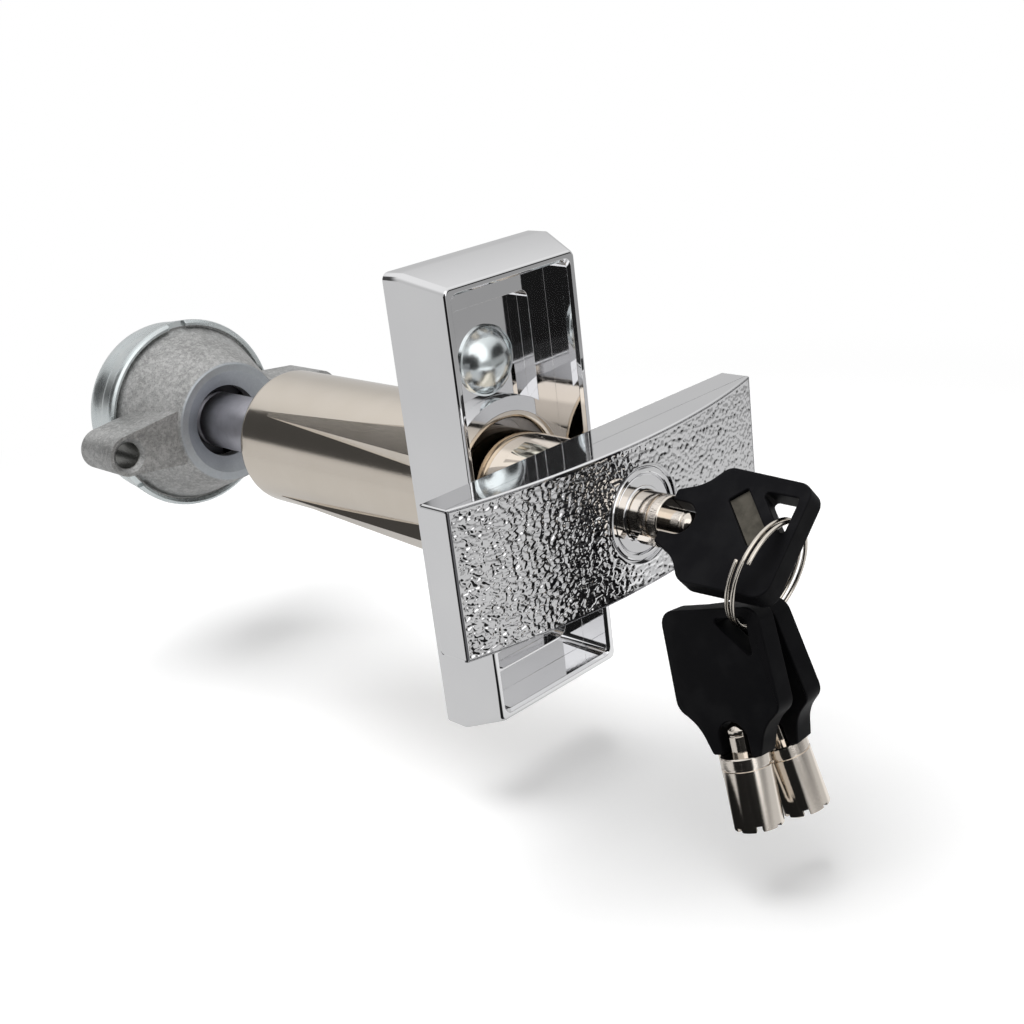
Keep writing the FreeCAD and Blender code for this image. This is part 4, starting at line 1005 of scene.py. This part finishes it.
# %% Receiver cover
DOME_R, DOME_Y, SHEET = 15.4, 125.9, 1.0
outer = [(23.7, 115.28), (24.4, 115.05), (25.0, 115.35), (25.2, 116.0), (25.1, 117.2), (24.7, 117.9),
         (24.6, 120.5), (24.2, 121.6), (23.9, 122.4), (23.8, 125.6)]
inner = [(0, 134.5), (10.4, 134.4), (11.6, 133.6), (15.2, 133.3)]
for skin, radius, steps in ((outer, 8.4, range(1, 9)), (inner, 8.4 - SHEET, range(7, 0, -1))):
    for k in steps:
        a = math.radians(90 * k / 8)
        skin.append((DOME_R + radius * math.cos(a), DOME_Y + radius * math.sin(a)))
outer += [(12.0, 134.6), (10.8, 135.3), (4.0, 135.5), (0, 135.5)]
inner += [(22.8, 122.6), (23.6, 120.6), (24.19, 118.4), (24.2, 116.28), (23.7, 116.28),
          (23.7, 115.28)]
cover = add_turned("receiver_cup", outer + inner, 112)
for angle in (90, 210, 330):
    slot = add_block("crimp_notch", (22.8, 114, -2.5), (26.5, 116.25, 2.5))
    slot.rotation_euler = (0, math.radians(-angle), 0)
    cut(cover, settle(slot))
soften(cover, 0.15, 2, 28)
dress(cover, "receiver", "zinc", "receiver_cover")

# %% [markdown]
# ## Keys
# Three keys of one pattern, so one is modelled with its neck at the origin and its bow upwards,
# and each real key is a copy turned into its place. The bow is a flat face drawn out of a plane:
# its outline is walked point by point, with arcs at the corners, then pushed to its thickness.

# %% Outline of the bow
BOW_T = 4.6
NOTCH_R, NOTCH_Z = 3.4, 3.2
PLATE_FLOOR, PLATE_AT = 0.8, mm(3.0, 0, 17.6)
PLATE_TURN = (0, math.radians(45), 0)


def arc_points(centre, radius, start, end, count):
    """Points on an arc, with its angles in degrees."""
    return [(centre[0] + radius * math.cos(math.radians(start + (end - start) * k / count)),
             centre[1] + radius * math.sin(math.radians(start + (end - start) * k / count)))
            for k in range(count + 1)]


def rounded_outline(corners, count=6):
    """A closed outline from (x, z, radius) corners, each replaced by an arc."""
    points = []
    for k, (x, z, r) in enumerate(corners):
        here = Vector((x, z))
        before = Vector(corners[k - 1][:2]) - here
        after = Vector(corners[(k + 1) % len(corners)][:2]) - here
        if r == 0:
            points.append((x, z))
            continue
        half = before.angle(after) / 2
        reach = r / math.tan(half)
        a, b = here + before.normalized() * reach, here + after.normalized() * reach
        middle = (before.normalized() + after.normalized()).normalized()
        centre = here + middle * (r / math.sin(half))
        first = math.degrees(math.atan2(a.y - centre.y, a.x - centre.x))
        swing = math.degrees(math.atan2(b.y - centre.y, b.x - centre.x)) - first
        swing = (swing + 180) % 360 - 180
        points += arc_points(centre, r, first, first + swing, count)
    return points


def add_plate(name, outline, low, high):
    """A plane primitive whose corner walks an outline in (x, z), pushed out from y low to high."""
    bpy.ops.mesh.primitive_plane_add(size=MM)
    piece = bpy.context.object
    piece.name = name
    points = [mm(x, low, z) for x, z in outline]
    edit(piece)
    pick(piece, "verts", lambda at, n: at.x < 0 or at.y < 0)
    bpy.ops.mesh.delete(type="VERT")
    bpy.ops.mesh.select_all(action="SELECT")
    bpy.ops.transform.translate(value=points[0] - mm(0.5, 0.5, 0))
    for before, after in zip(points, points[1:]):
        bpy.ops.mesh.extrude_vertices_move(TRANSFORM_OT_translate={"value": after - before})
    bpy.ops.mesh.select_all(action="SELECT")
    bpy.ops.mesh.edge_face_add()
    bpy.ops.mesh.extrude_region_move(TRANSFORM_OT_translate={"value": mm(0, high - low, 0)})
    bpy.ops.mesh.select_all(action="SELECT")
    bpy.ops.mesh.normals_make_consistent(inside=False)
    stop_edit()
    return piece


# %% Bow
corners = [(5.7, 0, 0.6), (7.8, 5.6, 9.0), (12.3, 9.0, 3.2), (11.7, 28.4, 3.0),
           (-11.7, 28.4, 3.0), (-12.3, 9.0, 3.2), (-7.8, 5.6, 9.0), (-5.7, 0, 0.6)]
bow = add_plate("bow_pattern", rounded_outline(corners), -BOW_T / 2, BOW_T / 2)
notch_outline = [(NOTCH_R, -1), (NOTCH_R, NOTCH_Z), *arc_points((0, NOTCH_Z), NOTCH_R, 0, 180, 16),
                 (-NOTCH_R, -1)]
notch = add_plate("neck_notch", notch_outline, -4, 4)
hole_corners = [(8.6, 26.4, 0.7), (8.6, 18.2, 0.7), (0.4, 26.4, 0.7)]
hole = add_plate("ring_hole", rounded_outline(hole_corners, 4), -4, 4)
recess = add_block("plate_recess", (-5.75, PLATE_FLOOR, -2.15), (5.75, 4, 2.15))
recess.rotation_euler = PLATE_TURN
recess.location = PLATE_AT
cut(bow, notch, hole, settle(recess))
tidy_faces(bow, 0.3)
soften(bow, 0.45, 3, 35)

# %% [markdown]
# The tube is turned: a stub with a coned nose sits in the bow's notch, then a shoulder, a
# groove and the round tube. Inside it is bored, and its mouth has the seven cuts that push the
# lock's pins. A lug on one side keeps the key in the lock while it is turned.

# %% Tube and plate
TUBE_R, TUBE_BORE_R, TUBE_END, TUBE_FLOOR = 4.8, 3.72, -14.3, -5.3
STUB_R, STUB_END = 2.4, 6.1
GROOVE_R, GROOVE_FRONT, GROOVE_BACK = 4.5, -2.0, -2.6
tube = add_turned("tube_pattern", [
    (0, STUB_END), (1.2, STUB_END), (2.35, 4.9), (STUB_R, 4.75), (STUB_R, 4.0), (2.2, 3.9), (2.2, 3.6),
    (STUB_R, 3.5), (STUB_R, 0), (4.55, 0), (TUBE_R, -0.25), (TUBE_R, GROOVE_FRONT),
    (GROOVE_R, GROOVE_FRONT - 0.05), (GROOVE_R, GROOVE_BACK + 0.05), (TUBE_R, GROOVE_BACK),
    (TUBE_R, TUBE_END + 0.2), (4.62, TUBE_END), (3.85, TUBE_END), (TUBE_BORE_R, TUBE_END + 0.15),
    (TUBE_BORE_R, TUBE_FLOOR), (0, TUBE_FLOOR)], 72, (0, 0, 1))
lug = add_block("lug", (-5.8, -0.8, -5.0), (-4.3, 0.8, -0.4))
drive = add_block("drive_rib", (-4.3, -0.5, TUBE_END), (-2.82, 0.5, -10.8))
weld(tube, lug, drive)
PIN_CIRCLE_R, PIN_CUT_R = 4.28, 0.77
PIN_DEPTHS = (0.6, 1.4, 1.0, 0.4, 1.6, 0.8, 1.2)
for k, depth in enumerate(PIN_DEPTHS):
    a = 2 * math.pi * k / len(PIN_DEPTHS)
    x, y = PIN_CIRCLE_R * math.cos(a), PIN_CIRCLE_R * math.sin(a)
    cut(tube, add_rod("pin_cut", PIN_CUT_R, (x, y, TUBE_END - 0.7), (x, y, TUBE_END + depth), 20))
tidy_faces(tube, 0.2)
soften(tube, 0.05, 1, 34)

plate = add_block("plate_pattern", (-5.7, PLATE_FLOOR, -2.1), (5.7, 1.7, 2.1))
edit(plate)
pick(plate, "faces", lambda at, n: n.y > 0.9)
bpy.ops.mesh.inset(thickness=0.5 * MM)
bpy.ops.transform.translate(value=mm(0, -0.12, 0))
stop_edit()
plate.rotation_euler = PLATE_TURN
plate.location = PLATE_AT
soften(settle(plate), 0.12, 2, 30)

# %% Three keys in their places
def copy_to(piece, name, place):
    """A copy with its own mesh, moved by a matrix."""
    twin = piece.copy()
    twin.data = piece.data.copy()
    twin.name = name
    bpy.context.scene.collection.objects.link(twin)
    twin.matrix_world = place
    return settle(twin)


def turned_by(axis, degrees):
    return Matrix.Rotation(math.radians(degrees), 4, axis)


RING_LEAN = 12.4
RING_R = 10.7
ring_up = Vector((0, -math.sin(math.radians(RING_LEAN)), math.cos(math.radians(RING_LEAN))))
ring_middle = Vector((-0.6, -74.85, 4.2)) - ring_up * RING_R


def hanging(offset, lean, splay, hook):
    """Where a spare key hangs: its hole's wall on the ring's wire, leaning and splayed."""
    wire = ring_middle + Vector((offset, 0, 0)) - ring_up * math.sqrt(RING_R ** 2 - offset ** 2)
    return (Matrix.Translation(wire * MM) @ turned_by("Y", splay) @ turned_by("X", -lean)
            @ turned_by("Z", -90) @ Matrix.Translation(mm(-hook[0], 0, -hook[1])))


in_lock = Matrix.Translation(mm(0, -50.2, 0)) @ turned_by("Y", -KEY_TURN) @ turned_by("X", 90)
KEYS = (("key", in_lock), ("spare_key_a", hanging(-4.9, 15.5, 7.0, (6.5, 24.0))),
        ("spare_key_b", hanging(1.5, 19.0, -2.0, (6.9, 24.7))))
for key, place in KEYS:
    dress(copy_to(tube, key + "_tube_body", place), key, "key_nickel", key + "_tube")
    dress(copy_to(bow, key + "_bow_moulding", place), key, "black_plastic", key + "_bow")
    dress(copy_to(plate, key + "_plate_insert", place), key, "key_plate_metal", key + "_plate")
for pattern in (tube, bow, plate):
    bpy.data.objects.remove(pattern)

# %% [markdown]
# ## Split ring
# Two flat-wound turns of wire. A circle of the wire's size is screwed twice round the ring's
# axis, and its open ends are closed and rounded.

# %% Split ring
WIRE_R, PITCH, TURNS = 0.4, 1.24, 2.0
bpy.ops.mesh.primitive_circle_add(vertices=16, radius=WIRE_R * MM, location=mm(RING_R, 0, -PITCH),
                                  rotation=(math.pi / 2, 0, 0))
ring = bpy.context.object
ring.name = "split_ring_wire"
settle(ring)
apply_modifier(ring, "SCREW", angle=2 * math.pi * TURNS, screw_offset=PITCH * TURNS * MM, axis="Z",
               steps=192, render_steps=192, use_merge_vertices=False)
edit(ring)
for k in range(2):
    bpy.ops.mesh.select_mode(type="EDGE")
    bpy.ops.mesh.select_all(action="DESELECT")
    bpy.ops.mesh.select_non_manifold()
    mesh = bmesh.from_edit_mesh(ring.data)
    for part in mesh.edges:
        low = (part.verts[0].co.z + part.verts[1].co.z) / 2 < 0
        part.select_set(part.select and low == (k == 0))
    bmesh.update_edit_mesh(ring.data)
    bpy.ops.mesh.edge_face_add()
    bpy.ops.mesh.bevel(offset=0.14 * MM, segments=3)
bpy.ops.mesh.select_all(action="SELECT")
bpy.ops.mesh.normals_make_consistent(inside=False)
stop_edit()
ring.matrix_world = (Matrix.Translation(ring_middle * MM) @ turned_by("X", RING_LEAN - 90)
                     @ turned_by("Z", -145))
soften(settle(ring), 0, 1, 50)
dress(ring, "ring", "ring_nickel", "split_ring")
